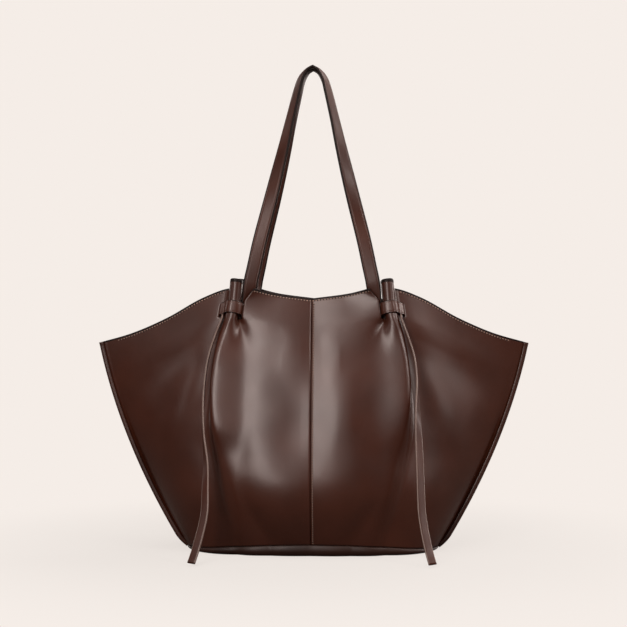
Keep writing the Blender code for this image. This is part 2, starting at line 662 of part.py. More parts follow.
def add_base_panel(name, material):
    """A shallow leather tray: a rim that meets the body panels at the base seam and a flat floor."""
    loop = base_outline()
    seam = loop[:, 2] - JOIN_GAP
    rings = []
    for height_share, inset_share in RIM_SHARES:
        ring = loop_inset(loop, BASE_INSET * inset_share)
        ring[:, 2] = seam * height_share
        rings.append(ring)
    count = len(loop)
    faces = grid_faces(np.ones((len(rings) - 1, count), bool), closed=True)
    last = (len(rings) - 1) * count
    faces.append(tuple(range(last, last + count)))
    piece = add_piece(name, np.concatenate(rings), faces, material)
    up = piece.data.polygons[-1].normal.z > 0
    thicken(piece, LEATHER, 1.0 if up else -1.0)
    return piece


def add_base_board(name, material):
    """A stiff board that lies on the base panel and holds the floor of the bag flat."""
    loop = base_outline()
    half = loop.max(axis=0)[:2]
    inset = BASE_INSET + LEATHER + BOARD_CLEARANCE
    plan = loop[:, :2] * (half - inset) / half
    low = LEATHER + JOIN_GAP
    sections = [stacked(plan[:, 0], plan[:, 1], z) for z in (low, low + BOARD_THICKNESS)]
    return add_loft(name, sections, material)


def facing_rows(top_height):
    return np.linspace(1 - FACING_DROP / top_height, 1, FACING_ROWS + 1)[:, None]


def add_wing_facing(name, material, side, face):
    """A strip sewn inside the mouth of the wing, from beside the pleat to the side seam."""
    rows = facing_rows(CROWN_HEIGHT)
    wing = stacked(*wing_columns(rows, WING_COLUMNS))[:, 2:-2]
    strip = inward(wing, LEATHER + JOIN_GAP)
    cells = np.ones((strip.shape[0] - 1, strip.shape[1] - 1), bool)
    return add_sheet(name, strip, cells, FACING_THICKNESS, material, side, face)


def add_centre_facing(name, material, face):
    """A strip sewn inside the mouth between the two pleats, over the centre seam."""
    rows = facing_rows(CROWN_HEIGHT)
    half = stacked(*centre_columns(rows, CENTRE_COLUMNS))[:, :-1]
    whole = np.concatenate([(half * (-1, 1, 1))[:, ::-1][:, :-1], half[:, :1] * (0, 1, 1), half[:, 1:]], axis=1)
    strip = inward(whole, LEATHER + JOIN_GAP)
    cells = np.ones((strip.shape[0] - 1, strip.shape[1] - 1), bool)
    return add_sheet(name, strip, cells, FACING_THICKNESS, material, 1, face)


for old in list(bpy.data.objects):
    bpy.data.objects.remove(old)

bag = bpy.data.objects.new("bag", None)
bpy.context.scene.collection.objects.link(bag)

PANEL_LEATHER = leather_material("panel_leather", (0.070, 0.031, 0.023), 0.32)
BASE_LEATHER = leather_material("base_leather", (0.048, 0.021, 0.016), 0.42)
BINDING_LEATHER = leather_material("binding_leather", (0.040, 0.018, 0.014), 0.45)
KEEPER_LEATHER = leather_material("keeper_leather", (0.064, 0.030, 0.023), 0.30)
STRAP_LEATHER = leather_material("strap_leather", (0.058, 0.026, 0.020), 0.34)
TIE_LEATHER = leather_material("tie_leather", (0.060, 0.028, 0.021), 0.34)
LINING_SUEDE = leather_material("lining_suede", (0.085, 0.052, 0.038), 0.85)
STIFF_BOARD = leather_material("stiff_board", (0.120, 0.085, 0.060), 0.90)

FACES = (("front", -1), ("back", 1))
SIDES = (("left", -1), ("right", 1))

panel_points, panel_leather = panel_grid()
end_sections = strap_end_sections()
tie_hinge = tie_root()
tie_bodies = {
    -1: tie_sections(tie_hinge, LEFT_TIE_SPREAD_SHARES, LEFT_TIE_TWIST_DEGREES),
    1: tie_sections(tie_hinge, RIGHT_TIE_SPREAD_SHARES, RIGHT_TIE_TWIST_DEGREES),
}

for face_name, face in FACES:
    for side_name, side in SIDES:
        corner = f"{face_name}_{side_name}"
        add_sheet(f"{face_name}_panel_{side_name}", panel_points, panel_leather, LEATHER, PANEL_LEATHER, side, face)
        add_keeper(f"keeper_{corner}", KEEPER_LEATHER, side, face)
        add_patch(f"pleat_patch_{corner}", LINING_SUEDE, side, face)
        add_wing_facing(f"wing_facing_{corner}", LINING_SUEDE, side, face)
        add_loft(f"strap_end_{corner}", placed(end_sections, side, face), STRAP_LEATHER)
        hinge = tuple(placed(tie_hinge, side, face))
        add_loft(f"tie_{corner}", placed(tie_bodies[side], side, face), TIE_LEATHER, hinge)
    add_centre_facing(f"mouth_facing_{face_name}", LINING_SUEDE, face)
    add_handle(f"handle_{face_name}", STRAP_LEATHER, face)

for side_name, side in SIDES:
    add_binding(f"side_binding_{side_name}", BINDING_LEATHER, side)

add_base_panel("base_panel", BASE_LEATHER)
add_base_board("base_board", STIFF_BOARD)
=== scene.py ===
"""Looks of a leather carryall bag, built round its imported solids.

All lengths are metres and Z is up. The bag stands on the floor at Z = 0 with its front facing -Y. Most shapes are
worked out for one quarter of the bag, as (x, depth, z) with depth measured from the middle plane, and then placed.
"""

import math

import bpy
import numpy as np
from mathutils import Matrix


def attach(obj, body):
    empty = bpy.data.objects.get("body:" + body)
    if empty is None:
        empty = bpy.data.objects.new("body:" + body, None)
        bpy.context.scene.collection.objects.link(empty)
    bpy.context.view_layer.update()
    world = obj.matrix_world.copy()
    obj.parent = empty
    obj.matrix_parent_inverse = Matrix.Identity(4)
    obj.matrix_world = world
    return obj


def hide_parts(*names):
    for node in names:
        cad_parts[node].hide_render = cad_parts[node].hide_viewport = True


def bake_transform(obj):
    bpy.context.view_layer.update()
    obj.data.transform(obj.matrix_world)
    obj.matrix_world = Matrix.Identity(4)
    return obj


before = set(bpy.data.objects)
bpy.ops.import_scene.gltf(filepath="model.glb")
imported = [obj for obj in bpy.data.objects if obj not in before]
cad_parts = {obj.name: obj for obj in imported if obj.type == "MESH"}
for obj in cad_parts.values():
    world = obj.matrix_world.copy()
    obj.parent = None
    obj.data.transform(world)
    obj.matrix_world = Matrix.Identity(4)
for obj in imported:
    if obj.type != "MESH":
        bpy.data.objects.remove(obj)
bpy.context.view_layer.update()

# Half panels
# Four pieces of smooth vegetable-tanned leather, 1.6 mm thick, make the body. Each is pinched into a standing
# pleat beside its strap, and the edges that stay open are painted.
BASE_LENGTH = 0.300
TIP_SPAN = 0.494
CROWN_HEIGHT = 0.289
TIP_HEIGHT = 0.238
BELLY_DEPTH = 0.095
SIDE_BOW = 0.012
BASE_SEAM_HEIGHT = 0.013
BASE_END_HEIGHT = 0.0035
LEATHER = 0.0016
JOIN_GAP = 0.0003
SIDE_FLANGE = 0.005
SEAM_DEPTH = LEATHER + JOIN_GAP / 2
PLEAT_WIDTH = 0.0358
PLEAT_TOP_X = 0.0857
PLEAT_RISE = 0.0105
PLEAT_SLANT = 0.0045
PLEAT_RIM_POWER = 2.6
PLEAT_FALL_POWER = 3
PLEAT_THROAT_TURN = math.radians(140)
PLEAT_RADIUS = PLEAT_WIDTH / (2 * PLEAT_THROAT_TURN)
KEEPER_DROP = 0.0240
KEEPER_BAND = 0.0145
KEEPER_THICKNESS = 0.0016
KEEPER_SLACK = 0.0006
SLOT_MARGIN = 0.0035
SLOT_FLARE = 0.0088
SLOT_REACH = PLEAT_RADIUS + 0.0046
SLIT_WIDTH = KEEPER_THICKNESS + 2 * JOIN_GAP
SLIT_MARGIN = 0.0008
SLIT_REACH = PLEAT_RADIUS + 0.0059
FOOT_MARGIN = 2 * LEATHER
CREASE_DEPTH = 0.0045
CREASE_REACH = 0.5
EDGE_ROLL = 0.0014
EDGE_ROLL_FADE = 0.02
SEAM_ROLL = 0.0017
LIP_CURL = 0.0022
LIP_CURL_POWER = 14
SMOOTHING_PASSES = 26
SMOOTHING_FADE = 0.05
SMOOTHED_COLUMNS = slice(10, -8)
THROAT_PASSES = 260
THROAT_PULL = 0.9
THROAT_LOW = 0.68
THROAT_FADES = (0.004, 0.06)
THROAT_COLUMNS = (-26, 25)
THROAT_COLUMN_FADE = 8
WAVE_COUNT = 8
WAVE_LENGTHS = (0.035, 0.09)
WAVE_DEPTH = 0.0007
CALM_SEAM, CALM_SIDE = 0.03, 0.05
CALM_BASE, CALM_SLOT = 0.15, 0.1
FIRST_SEED = 3

MOUTH_X = (0.0, 0.18, 0.27, 0.39, 0.5, 0.68, 0.85, 1.0)
MOUTH_RISE = (1.0, 1.12, 1.22, 1.22, 1.03, 0.557, 0.207, 0.0)
HEIGHTS = (0.0, 0.15, 0.35, 0.6, 0.85, 1.0)
CENTRE_DEPTHS = (0.80, 0.983, 0.992, 0.865, 0.61, 0.442)
LIP_DEPTHS = (0.774, 0.89, 0.915, 0.79, 0.570, 0.497)
INNER_FOOT_DEPTHS = (0.775, 0.882, 0.890, 0.755, 0.470, 0.366)
OUTER_FOOT_DEPTHS = (0.70, 0.745, 0.705, 0.58, 0.447, 0.36)
CREASE_SHARES = (0.3, 0.7, 1.0, 1.0, 0.8, 0.4)
WING_STARTS = (2.2, 1.7, 1.35, 1.22, 1.2, 1.2)
WING_ENDS = (0.5, 0.58, 0.70, 0.84, 0.95, 1.0)
PLEAT_HEIGHTS = (0.0, 0.14, 0.26, 0.38, 0.52, 0.61, 0.70, 0.80, 0.90, 1.0)
PLEAT_PLACES = (0.066, 0.0765, 0.0865, 0.0945, 0.0998, 0.1005, 0.0985, 0.0945, 0.0902, 0.0857)
TURN_HEIGHTS = (0.0, 0.2, 0.35, 0.55, 0.7, 0.8, 0.88, 1.0)
TURN_DEGREES = (2.0, 8.0, 25.0, 55.0, 90.0, 120.0, 140.0, 140.0)
PLEAT_LEANS = (0.0, 0.1, 0.25, 0.4, 0.5, 0.5, 0.35, 0.12, 0.0, 0.0)
PLEAT_LIFTS = (1.0, 1.05, 1.2, 1.3, 1.3, 1.25, 1.15, 1.05, 1.0, 1.0)
SWELL_HEIGHTS = (0.0, 0.25, 0.35, 0.45, 0.55, 0.65, 0.75, 0.85, 0.90)
SWELL_PLACES = (
    (0.0,) * 9,
    (0.020,) * 9,
    (0.038, 0.038, 0.038, 0.038, 0.038, 0.038, 0.037, 0.036, 0.036),
    (0.058, 0.058, 0.057, 0.056, 0.055, 0.0545, 0.054, 0.054, 0.055),
    (0.080, 0.078, 0.076, 0.0745, 0.0735, 0.073, 0.073, 0.0775, 0.0825),
    (0.084, 0.088, 0.090, 0.0915, 0.0915, 0.0905, 0.0885, 0.0865, 0.0875),
    (0.088, 0.0955, 0.1005, 0.1050, 0.1070, 0.1065, 0.1030, 0.0955, 0.0915),
    (0.093, 0.1005, 0.1060, 0.1112, 0.1137, 0.1132, 0.1095, 0.1030, 0.0985),
    (0.098, 0.105, 0.110, 0.1120, 0.1100, 0.1060, 0.1015, 0.0970, 0.0947),
)
SWELL_FALLS = (
    (0.0010, 0.0036, 0.0044, 0.0050, 0.0050, 0.0048, 0.0042, 0.0036, 0.0030),
    (0.0004, 0.0012, 0.0016, 0.0018, 0.0018, 0.0015, 0.0009, 0.0004, 0.0002),
    (0.0008, 0.0013, 0.0014, 0.0014, 0.0014, 0.0014, 0.0013, 0.0010, 0.0008),
    (0.0026, 0.0040, 0.0040, 0.0041, 0.0040, 0.0038, 0.0036, 0.0031, 0.0026),
    (0.0060, 0.0080, 0.0082, 0.0077, 0.0073, 0.0073, 0.0078, 0.0084, 0.0094),
    (0.0066, 0.0100, 0.0092, 0.0066, 0.0056, 0.0053, 0.0051, 0.0046, 0.0040),
    (0.0075, 0.0135, 0.0120, 0.0060, 0.0036, 0.0030, 0.0026, 0.0012, -0.0010),
    (0.0090, 0.0175, 0.0180, 0.0130, 0.0100, 0.0090, 0.0085, 0.0075, 0.0063),
    (0.0105, 0.0250, 0.0290, 0.0300, 0.0295, 0.0275, 0.0240, 0.0165, 0.0130),
)
LEFT_SHARES = (0.0, 0.15, 0.7, 1.0, 1.0, 0.85, 0.45, 0.08, 0.0)
LEFT_FALLS = (0.0, 0.0044, 0.0044, 0.0022, 0.0010, 0.0018, 0.0024, 0.0022, 0.0012)
LEFT_PULLS = (0.0, 0.0, 0.0, -0.003, 0.0, 0.003, -0.002, 0.0, 0.0)
RIGHT_SHARES = (0.0, 0.1, 0.6, 1.0, 1.0, 1.0, 0.8, 0.35, 0.0)
RIGHT_FALLS = (0.0, 0.0006, -0.0003, -0.0002, 0.0006, 0.0026, 0.0046, 0.0034, 0.0)
SWELL_LIP = 3.7
SWELL_LOW, SWELL_HIGH = 0.815, 0.905
SWELL_FOOT = 0.30
RIDGE_HEIGHTS = (0.0, 0.2, 0.39, 0.49, 0.68, 0.85, 1.0)
RIDGE_PLACES = (0.90, 0.80, 0.66, 0.53, 0.28, 0.10, 0.05)
RIDGE_SIZES = (0.0, 0.0003, 0.0020, 0.0036, 0.0044, 0.0020, 0.0)
RIDGE_BREADTH = 0.22

MOUTH_ROWS = (0.9925, 0.9962, 1)
SEAM_STEPS = (0, 0.004, 0.009, 0.016, 0.026, 0.04)
CENTRE_STEPS = np.concatenate([SEAM_STEPS, np.linspace(0.06, 1, 42)])[None, :]
PLEAT_STEPS = np.linspace(-1, 1, 49)[None, :]
WING_STEPS = np.linspace(0, 1, 50)[None, :]
SLOT_COLUMN = CENTRE_STEPS.size - 1
SLIT_COLUMN = CENTRE_STEPS.size + PLEAT_STEPS.size


def clamped(values):
    """Shares kept between 0 and 1."""
    return np.clip(values, 0, 1)


def curve_through(knots, values, at):
    """Natural cubic spline: between two knots a cubic, and slope and bend run on without a step at each knot."""
    knots, values, at = (np.asarray(each, float) for each in (knots, values, at))
    spans = np.diff(knots)
    inner = np.arange(1, len(knots) - 1)
    system = np.eye(len(knots))
    system[inner, inner - 1] = spans[:-1]
    system[inner, inner] = 2 * (spans[:-1] + spans[1:])
    system[inner, inner + 1] = spans[1:]
    wanted = np.zeros(len(knots))
    wanted[inner] = 6 * np.diff(np.diff(values) / spans)
    bends = np.linalg.solve(system, wanted)
    at = np.clip(at, knots[0], knots[-1])
    left = np.clip(np.searchsorted(knots, at, side="right") - 1, 0, len(knots) - 2)
    span, after, before = spans[left], at - knots[left], knots[left + 1] - at
    bend = (bends[left] * before**3 + bends[left + 1] * after**3) / (6 * span)
    start = (values[left] / span - bends[left] * span / 6) * before
    return bend + start + (values[left + 1] / span - bends[left + 1] * span / 6) * after


def steady_through(knots, values, at):
    """Cubic curve through the values with each slope taken from its neighbours, which never swings past them far."""
    knots, values, at = (np.asarray(each, float) for each in (knots, values, at))
    at = np.clip(at, knots[0], knots[-1])
    slopes = np.gradient(values, knots)
    left = np.clip(np.searchsorted(knots, at, side="right") - 1, 0, len(knots) - 2)
    span = knots[left + 1] - knots[left]
    t = (at - knots[left]) / span
    level = values[left] + (values[left + 1] - values[left]) * t * t * (3 - 2 * t)
    return level + span * (slopes[left] * t * (1 - t) ** 2 + slopes[left + 1] * t * t * (t - 1))


def mouth_height(x):
    """Height of the mouth edge at a distance x from the centre seam."""
    rise = steady_through(MOUTH_X, MOUTH_RISE, np.abs(x) / (TIP_SPAN / 2))
    return TIP_HEIGHT + rise * (CROWN_HEIGHT - TIP_HEIGHT)


def base_seam_height(x):
    """Height of the seam between panel and base: a parabola that is highest at the centre."""
    share = clamped(np.abs(x) / (BASE_LENGTH / 2))
    return BASE_END_HEIGHT + (BASE_SEAM_HEIGHT - BASE_END_HEIGHT) * (1 - share**2)


def side_half_width(height):
    """Distance of the side edge from the centre: a straight taper with a parabolic bow."""
    return BASE_LENGTH / 2 + (TIP_SPAN - BASE_LENGTH) / 2 * height + 4 * SIDE_BOW * height * (1 - height)


def panel_depth(depths, height):
    """Depth of a line that runs up the panel: the belly's depth times a natural spline of shares."""
    return BELLY_DEPTH * curve_through(HEIGHTS, depths, height)


def pleat_x(height):
    """Distance of the pleat's middle line from the centre seam: a natural spline."""
    return curve_through(PLEAT_HEIGHTS, PLEAT_PLACES, height)


def pleat_turn(height):
    """Half the angle of the pleat's arc: nearly flat at the base, and most of a full circle at the keeper."""
    return np.radians(steady_through(TURN_HEIGHTS, TURN_DEGREES, height))


def pleat_half_foot(height):
    """Half the distance between the feet of an arc of constant length."""
    return PLEAT_WIDTH / 2 * np.sin(pleat_turn(height)) / pleat_turn(height)


def height_share_of(z):
    """Share of the way up the pleat at a height z, below the stretch that stands above the mouth."""
    low = base_seam_height(PLEAT_PLACES[0])
    return (z - low) / (mouth_height(PLEAT_TOP_X) - low)


KEEPER_HEIGHT = float(mouth_height(PLEAT_TOP_X)) - KEEPER_DROP
SLOT_LOW = float(height_share_of(KEEPER_HEIGHT - KEEPER_BAND / 2 - SLOT_MARGIN))
SLOT_HIGH = float(height_share_of(KEEPER_HEIGHT + KEEPER_BAND / 2 + SLOT_MARGIN))
SLIT_LOW = float(height_share_of(KEEPER_HEIGHT - KEEPER_BAND / 2 - SLIT_MARGIN))
SLIT_HIGH = float(height_share_of(KEEPER_HEIGHT + KEEPER_BAND / 2 + SLIT_MARGIN))


def above_slot(height):
    """Share of the way from the top of the keeper's slot up to the mouth."""
    return clamped((height - SLOT_HIGH) / (1 - SLOT_HIGH))


def lip_x(height):
    """Edge of the centre stretch beside the pleat: close to it at the keeper and flared at the mouth."""
    reach = np.maximum(SLOT_REACH, pleat_half_foot(height) + FOOT_MARGIN)
    return pleat_x(height) - reach - SLOT_FLARE * above_slot(height)


def swell_share(height):
    """1 where the pleat has opened into the swell of the belly, and 0 where it is a tube and at the base."""
    share = clamped((SWELL_HIGH - height) / (SWELL_HIGH - SWELL_LOW))
    foot = clamped(height / SWELL_FOOT)
    return share * share * (3 - 2 * share) * foot * foot * (3 - 2 * foot)


def outer_foot(height):
    """Where the wing starts: the outer foot of the tube, and lower down the valley beside the swell."""
    share = swell_share(height)
    valley = steady_through(SWELL_HEIGHTS, SWELL_PLACES[-1], height)
    return (1 - share) * (pleat_x(height) + pleat_half_foot(height)) + share * valley


def slit_x(height):
    """Near edge of the slit on the wing side of the pleat."""
    share = swell_share(height)
    beside = pleat_x(height) + np.maximum(SLIT_REACH, pleat_half_foot(height) + FOOT_MARGIN)
    return (1 - share) * beside + share * (outer_foot(height) + FOOT_MARGIN)


def stacked(x, depth, z):
    """Points as (x, depth, z) from three arrays, each stretched to the shape that they share."""
    return np.stack(np.broadcast_arrays(x, depth, z), axis=-1)


def rolled(distance, radius):
    """How far a rolled edge falls back at a distance from it: a quarter circle that ends level at the radius."""
    near = clamped(1 - distance / radius)
    return radius * (1 - np.sqrt(1 - near**2))


def centre_stretch(height):
    """Two parabolas that meet at the fullest line: one falls to the crease of the centre seam, one to the lip.

    The edge rolls in at the seam by a quarter circle, and the lip's upper corner curls forward.
    """
    start = JOIN_GAP / 2
    x = start + CENTRE_STEPS * (lip_x(height) - start)
    full = panel_depth(CENTRE_DEPTHS, height)
    crease = CREASE_DEPTH * curve_through(HEIGHTS, CREASE_SHARES, height)
    inner = clamped(1 - CENTRE_STEPS / CREASE_REACH) ** 2
    outer = clamped((CENTRE_STEPS - CREASE_REACH) / (1 - CREASE_REACH)) ** 2
    curl = LIP_CURL * CENTRE_STEPS**LIP_CURL_POWER * above_slot(height) ** 2
    to_lip = full - panel_depth(LIP_DEPTHS, height)
    depth = full - crease * inner - to_lip * outer - rolled(x, SEAM_ROLL) + curl
    top = mouth_height(start + CENTRE_STEPS * (lip_x(1.0) - start))
    low = base_seam_height(start + CENTRE_STEPS * (lip_x(0.0) - start))
    return stacked(x, depth, low + height * (top - low))


def pleat_stretch(height):
    """An arc that opens from a tube into a swell. Its crest leans out over the valley, and above the keeper its
    rim stands proud of the mouth and slants down towards the centre."""
    turn = pleat_turn(height)
    radius = pleat_half_foot(height) / np.sin(turn)
    rise = radius * (np.cos(turn * PLEAT_STEPS) - np.cos(turn))
    lean = steady_through(PLEAT_HEIGHTS, PLEAT_LEANS, height)
    lift = steady_through(PLEAT_HEIGHTS, PLEAT_LIFTS, height)
    x = pleat_x(height) + radius * np.sin(turn * PLEAT_STEPS) + lean * rise
    inner = panel_depth(INNER_FOOT_DEPTHS, height)
    outer = panel_depth(OUTER_FOOT_DEPTHS, height)
    fall = ((PLEAT_STEPS + 1) / 2) ** PLEAT_FALL_POWER
    depth = inner + (outer - inner) * fall + lift * rise
    low = base_seam_height(pleat_x(0.0) + pleat_half_foot(0.0) * PLEAT_STEPS)
    slant = PLEAT_SLANT / 2 * PLEAT_STEPS * (1 - np.abs(PLEAT_STEPS))
    proud = PLEAT_RISE * (1 - np.abs(PLEAT_STEPS) ** PLEAT_RIM_POWER) + slant
    return stacked(x, depth, low + height * (mouth_height(PLEAT_TOP_X) - low) + above_slot(height) * proud)


def swelled(height, left=0.0, right=0.0):
    """Centre stretch and pleat, turned into one swell below the keeper: natural splines across nine lines that run
    up the bag, from the seam crease over the fullest line, down a wall into the hollow beside the pleat, up over
    the ridge and its edge, and under it into the valley. The two halves of a face differ a little, as hand-worked
    leather does: the left one stands less proud with a narrower hollow, and the right one has a flatter ridge."""
    plain = np.concatenate([centre_stretch(height), pleat_stretch(height)], axis=1)
    places, falls = np.array(SWELL_PLACES), np.array(SWELL_FALLS)
    lines = np.arange(len(places))
    lip = np.interp(SWELL_LIP, lines, places[:, -1])
    centre_at = np.interp(CENTRE_STEPS[0] * lip, places[:5, -1], lines[:5])
    at = np.concatenate([centre_at, SWELL_LIP + (lines[-1] - SWELL_LIP) * (PLEAT_STEPS[0] + 1) / 2])
    weights = [curve_through(lines, np.eye(len(lines))[line], at) for line in lines]
    falls = falls + left * np.outer(LEFT_FALLS, LEFT_SHARES) + right * np.outer(RIGHT_FALLS, RIGHT_SHARES)
    places = places - left * np.outer(LEFT_PULLS, LEFT_SHARES)
    x, fall = (sum(weight * steady_through(SWELL_HEIGHTS, values, height) for weight, values in zip(weights, table))
               for table in (places, falls))
    x = np.maximum(x, 0) + JOIN_GAP / 2
    depth = panel_depth(CENTRE_DEPTHS, height) - fall - rolled(x, SEAM_ROLL)
    return plain + (stacked(x, depth, plain[..., 2]) - plain) * swell_share(height)[..., None]


def wing_x(height):
    """Columns of the wing: the two edges of the slit, steps that bunch towards the side seam, and the side edge."""
    seam = side_half_width(height) - SIDE_FLANGE
    near = slit_x(height)
    far = near + SLIT_WIDTH
    bunched = 1 - (1 - WING_STEPS) ** (1 / curve_through(HEIGHTS, WING_ENDS, height))
    return np.concatenate([near, far + (seam - far) * bunched, seam + SIDE_FLANGE], axis=1)


def wing_stretch(height):
    """Depth falls from the pleat's outer foot, or the valley, to the side seam as (1 - s to a power) to a power,
    with a soft bell shaped ridge that runs down and out from the keeper."""
    foot = outer_foot(height)
    seam = side_half_width(height) - SIDE_FLANGE
    x = wing_x(height)
    share = clamped((x - foot) / (seam - foot))
    start = curve_through(HEIGHTS, WING_STARTS, height)
    end = curve_through(HEIGHTS, WING_ENDS, height)
    place = steady_through(RIDGE_HEIGHTS, RIDGE_PLACES, height)
    size = steady_through(RIDGE_HEIGHTS, RIDGE_SIZES, height)
    ridge = size * np.exp(-(((share - place) / RIDGE_BREADTH) ** 2)) * (1 - share**4)
    swell = swell_share(height)
    valley = panel_depth(CENTRE_DEPTHS, height) - steady_through(SWELL_HEIGHTS, SWELL_FALLS[-1], height)
    outer = (1 - swell) * panel_depth(OUTER_FOOT_DEPTHS, height) + swell * valley
    fall = (1 - share**start) ** end
    depth = SEAM_DEPTH + (outer - SEAM_DEPTH) * fall + ridge * clamped(share / RIDGE_BREADTH)
    low = base_seam_height(wing_x(np.zeros((1, 1))))
    top = mouth_height(wing_x(np.ones((1, 1))))
    return stacked(x, depth, low + height * (top - low))


def smooth_hollows(grid, rows):
    """Rounds the hollows at the pleat's feet below the slot: each point moves towards the average of its
    neighbours, first across the bag and then, just below the slot, also up it."""
    soft = clamped((SLOT_LOW - rows) / SMOOTHING_FADE)
    keep = np.zeros(grid.shape[1] - 2)
    keep[SMOOTHED_COLUMNS] = 1
    for _ in range(SMOOTHING_PASSES):
        middle_of = (grid[:, :-2] + grid[:, 2:]) / 2 - grid[:, 1:-1]
        grid[:, 1:-1] += 0.5 * (soft * keep)[..., None] * middle_of
    near_slot = clamped((SLOT_LOW - rows) / THROAT_FADES[0]) * clamped((rows - THROAT_LOW) / THROAT_FADES[1])
    ahead = np.arange(grid.shape[1]) - CENTRE_STEPS.size
    first, last = THROAT_COLUMNS
    beside = clamped((ahead - first) / THROAT_COLUMN_FADE) * clamped((last - ahead) / THROAT_COLUMN_FADE)
    weight = (THROAT_PULL * near_slot * beside)[1:-1, 1:-1, None]
    for _ in range(THROAT_PASSES):
        around = grid[:-2, 1:-1] + grid[2:, 1:-1] + grid[1:-1, :-2] + grid[1:-1, 2:]
        grid[1:-1, 1:-1] += weight * (around / 4 - grid[1:-1, 1:-1])


def soft_waves(grid, seed):
    """Mean of eight long waves over (x, z), the unevenness of hand-worked leather, with seeded directions."""
    draw = np.random.default_rng(seed)
    waves = np.zeros(grid.shape[:2])
    for _ in range(WAVE_COUNT):
        angle, length, phase = draw.uniform(0, math.pi), draw.uniform(*WAVE_LENGTHS), draw.uniform(0, 2 * math.pi)
        across = grid[..., 0] * math.cos(angle) + grid[..., 2] * math.sin(angle)
        waves += np.sin(2 * math.pi * across / length + phase)
    return waves / WAVE_COUNT


def quarter_panel(seed, left):
    """The whole outer surface of a half panel as a grid, and the cells of it that are leather: all but the slot
    and the slit. The waves die out at seam, side, base and slot, and the foot rolls in."""
    rows = np.concatenate([
        (0, 0.0012, 0.003, 0.005, 0.008), np.linspace(0.013, SLOT_LOW, 92), np.linspace(SLOT_LOW, SLIT_LOW, 4)[1:],
        np.linspace(SLIT_LOW, SLIT_HIGH, 9)[1:-1], np.linspace(SLIT_HIGH, SLOT_HIGH, 4),
        np.linspace(SLOT_HIGH, MOUTH_ROWS[0], 10)[1:], MOUTH_ROWS[1:]])[:, None]
    grid = np.concatenate([swelled(rows, left, 1 - left), wing_stretch(rows)], axis=1)
    smooth_hollows(grid, rows)
    inward = clamped(grid[..., 0] / CALM_SEAM) * clamped((side_half_width(rows) - grid[..., 0]) / CALM_SIDE)
    calm = inward * clamped(rows / CALM_BASE) * clamped((SLOT_LOW - rows) / CALM_SLOT)
    grid[..., 1] += WAVE_DEPTH * calm * soft_waves(grid, seed)
    grid[..., 1] -= rolled(grid[..., 2] - grid[:1, :, 2], EDGE_ROLL) * clamped(grid[..., 1] / EDGE_ROLL_FADE)
    cells = np.ones((grid.shape[0] - 1, grid.shape[1] - 1), bool)
    heights = (rows[:-1, 0] + rows[1:, 0]) / 2
    cells[heights > SLOT_LOW, SLOT_COLUMN] = False
    cells[(heights > SLIT_LOW) & (heights < SLIT_HIGH), SLIT_COLUMN] = False
    return grid, cells


def placed(points, side, face):
    """Quarter coordinates in world axes: side is -1 or 1, and face is -1 at the front."""
    return np.asarray(points) * (side, face, 1)


def new_mesh(name, points, quads, materials, slots=None, caps=()):
    """A mesh object at the origin from an array of points and one of quads, with more faces for its ends."""
    mesh = bpy.data.meshes.new(name)
    mesh.from_pydata(np.asarray(points).reshape(-1, 3).tolist(), [], np.asarray(quads).tolist() + list(caps))
    for material in materials:
        mesh.materials.append(material)
    if slots is not None:
        mesh.polygons.foreach_set("material_index", np.append(slots, np.zeros(len(caps), int)).astype(np.int32))
    mesh.shade_smooth()
    mesh.update()
    piece = bpy.data.objects.new(name, mesh)
    bpy.context.scene.collection.objects.link(piece)
    return piece


def grid_quads(rows, columns, closed=False, looped=False):
    """Corner numbers of the cells between rows and columns of points, row by row. Closed joins the last column to
    the first, and looped the last row."""
    row, column = np.meshgrid(
        np.arange(rows if looped else rows - 1), np.arange(columns if closed else columns - 1), indexing="ij")
    here, above, after = row * columns, (row + 1) % rows * columns, (column + 1) % columns
    return np.stack([here + column, here + after, above + after, above + column], axis=-1).reshape(-1, 4)


def thicken(piece, thickness, rounding, inside=0, rim=0):
    """Gives a sheet its thickness behind its face, and rounds its edges."""
    wall = piece.modifiers.new("Thickness", "SOLIDIFY")
    wall.thickness, wall.offset = thickness, -1.0
    wall.material_offset, wall.material_offset_rim = inside, rim
    if rounding:
        edge = piece.modifiers.new("Edge", "BEVEL")
        edge.width, edge.segments, edge.limit_method, edge.angle_limit = rounding, 2, "ANGLE", math.radians(55)


def fill(tree, node, inputs):
    """Gives each named input of a node its value, or a link where it is another node's output."""
    for name, value in inputs.items():
        if isinstance(value, bpy.types.NodeSocket):
            tree.links.new(value, node.inputs[name])
        else:
            node.inputs[name].default_value = value


def add_node(tree, kind, inputs=None, **settings):
    """A new shader node with its settings and its inputs filled in."""
    node = tree.nodes.new(f"ShaderNode{kind}")
    for name, value in settings.items():
        setattr(node, name, value)
    fill(tree, node, inputs or {})
    return node


def new_material(name):
    """A material, its node tree and its main shader."""
    material = bpy.data.materials.new(name)
    material.use_nodes = True
    return material, material.node_tree, material.node_tree.nodes["Principled BSDF"]


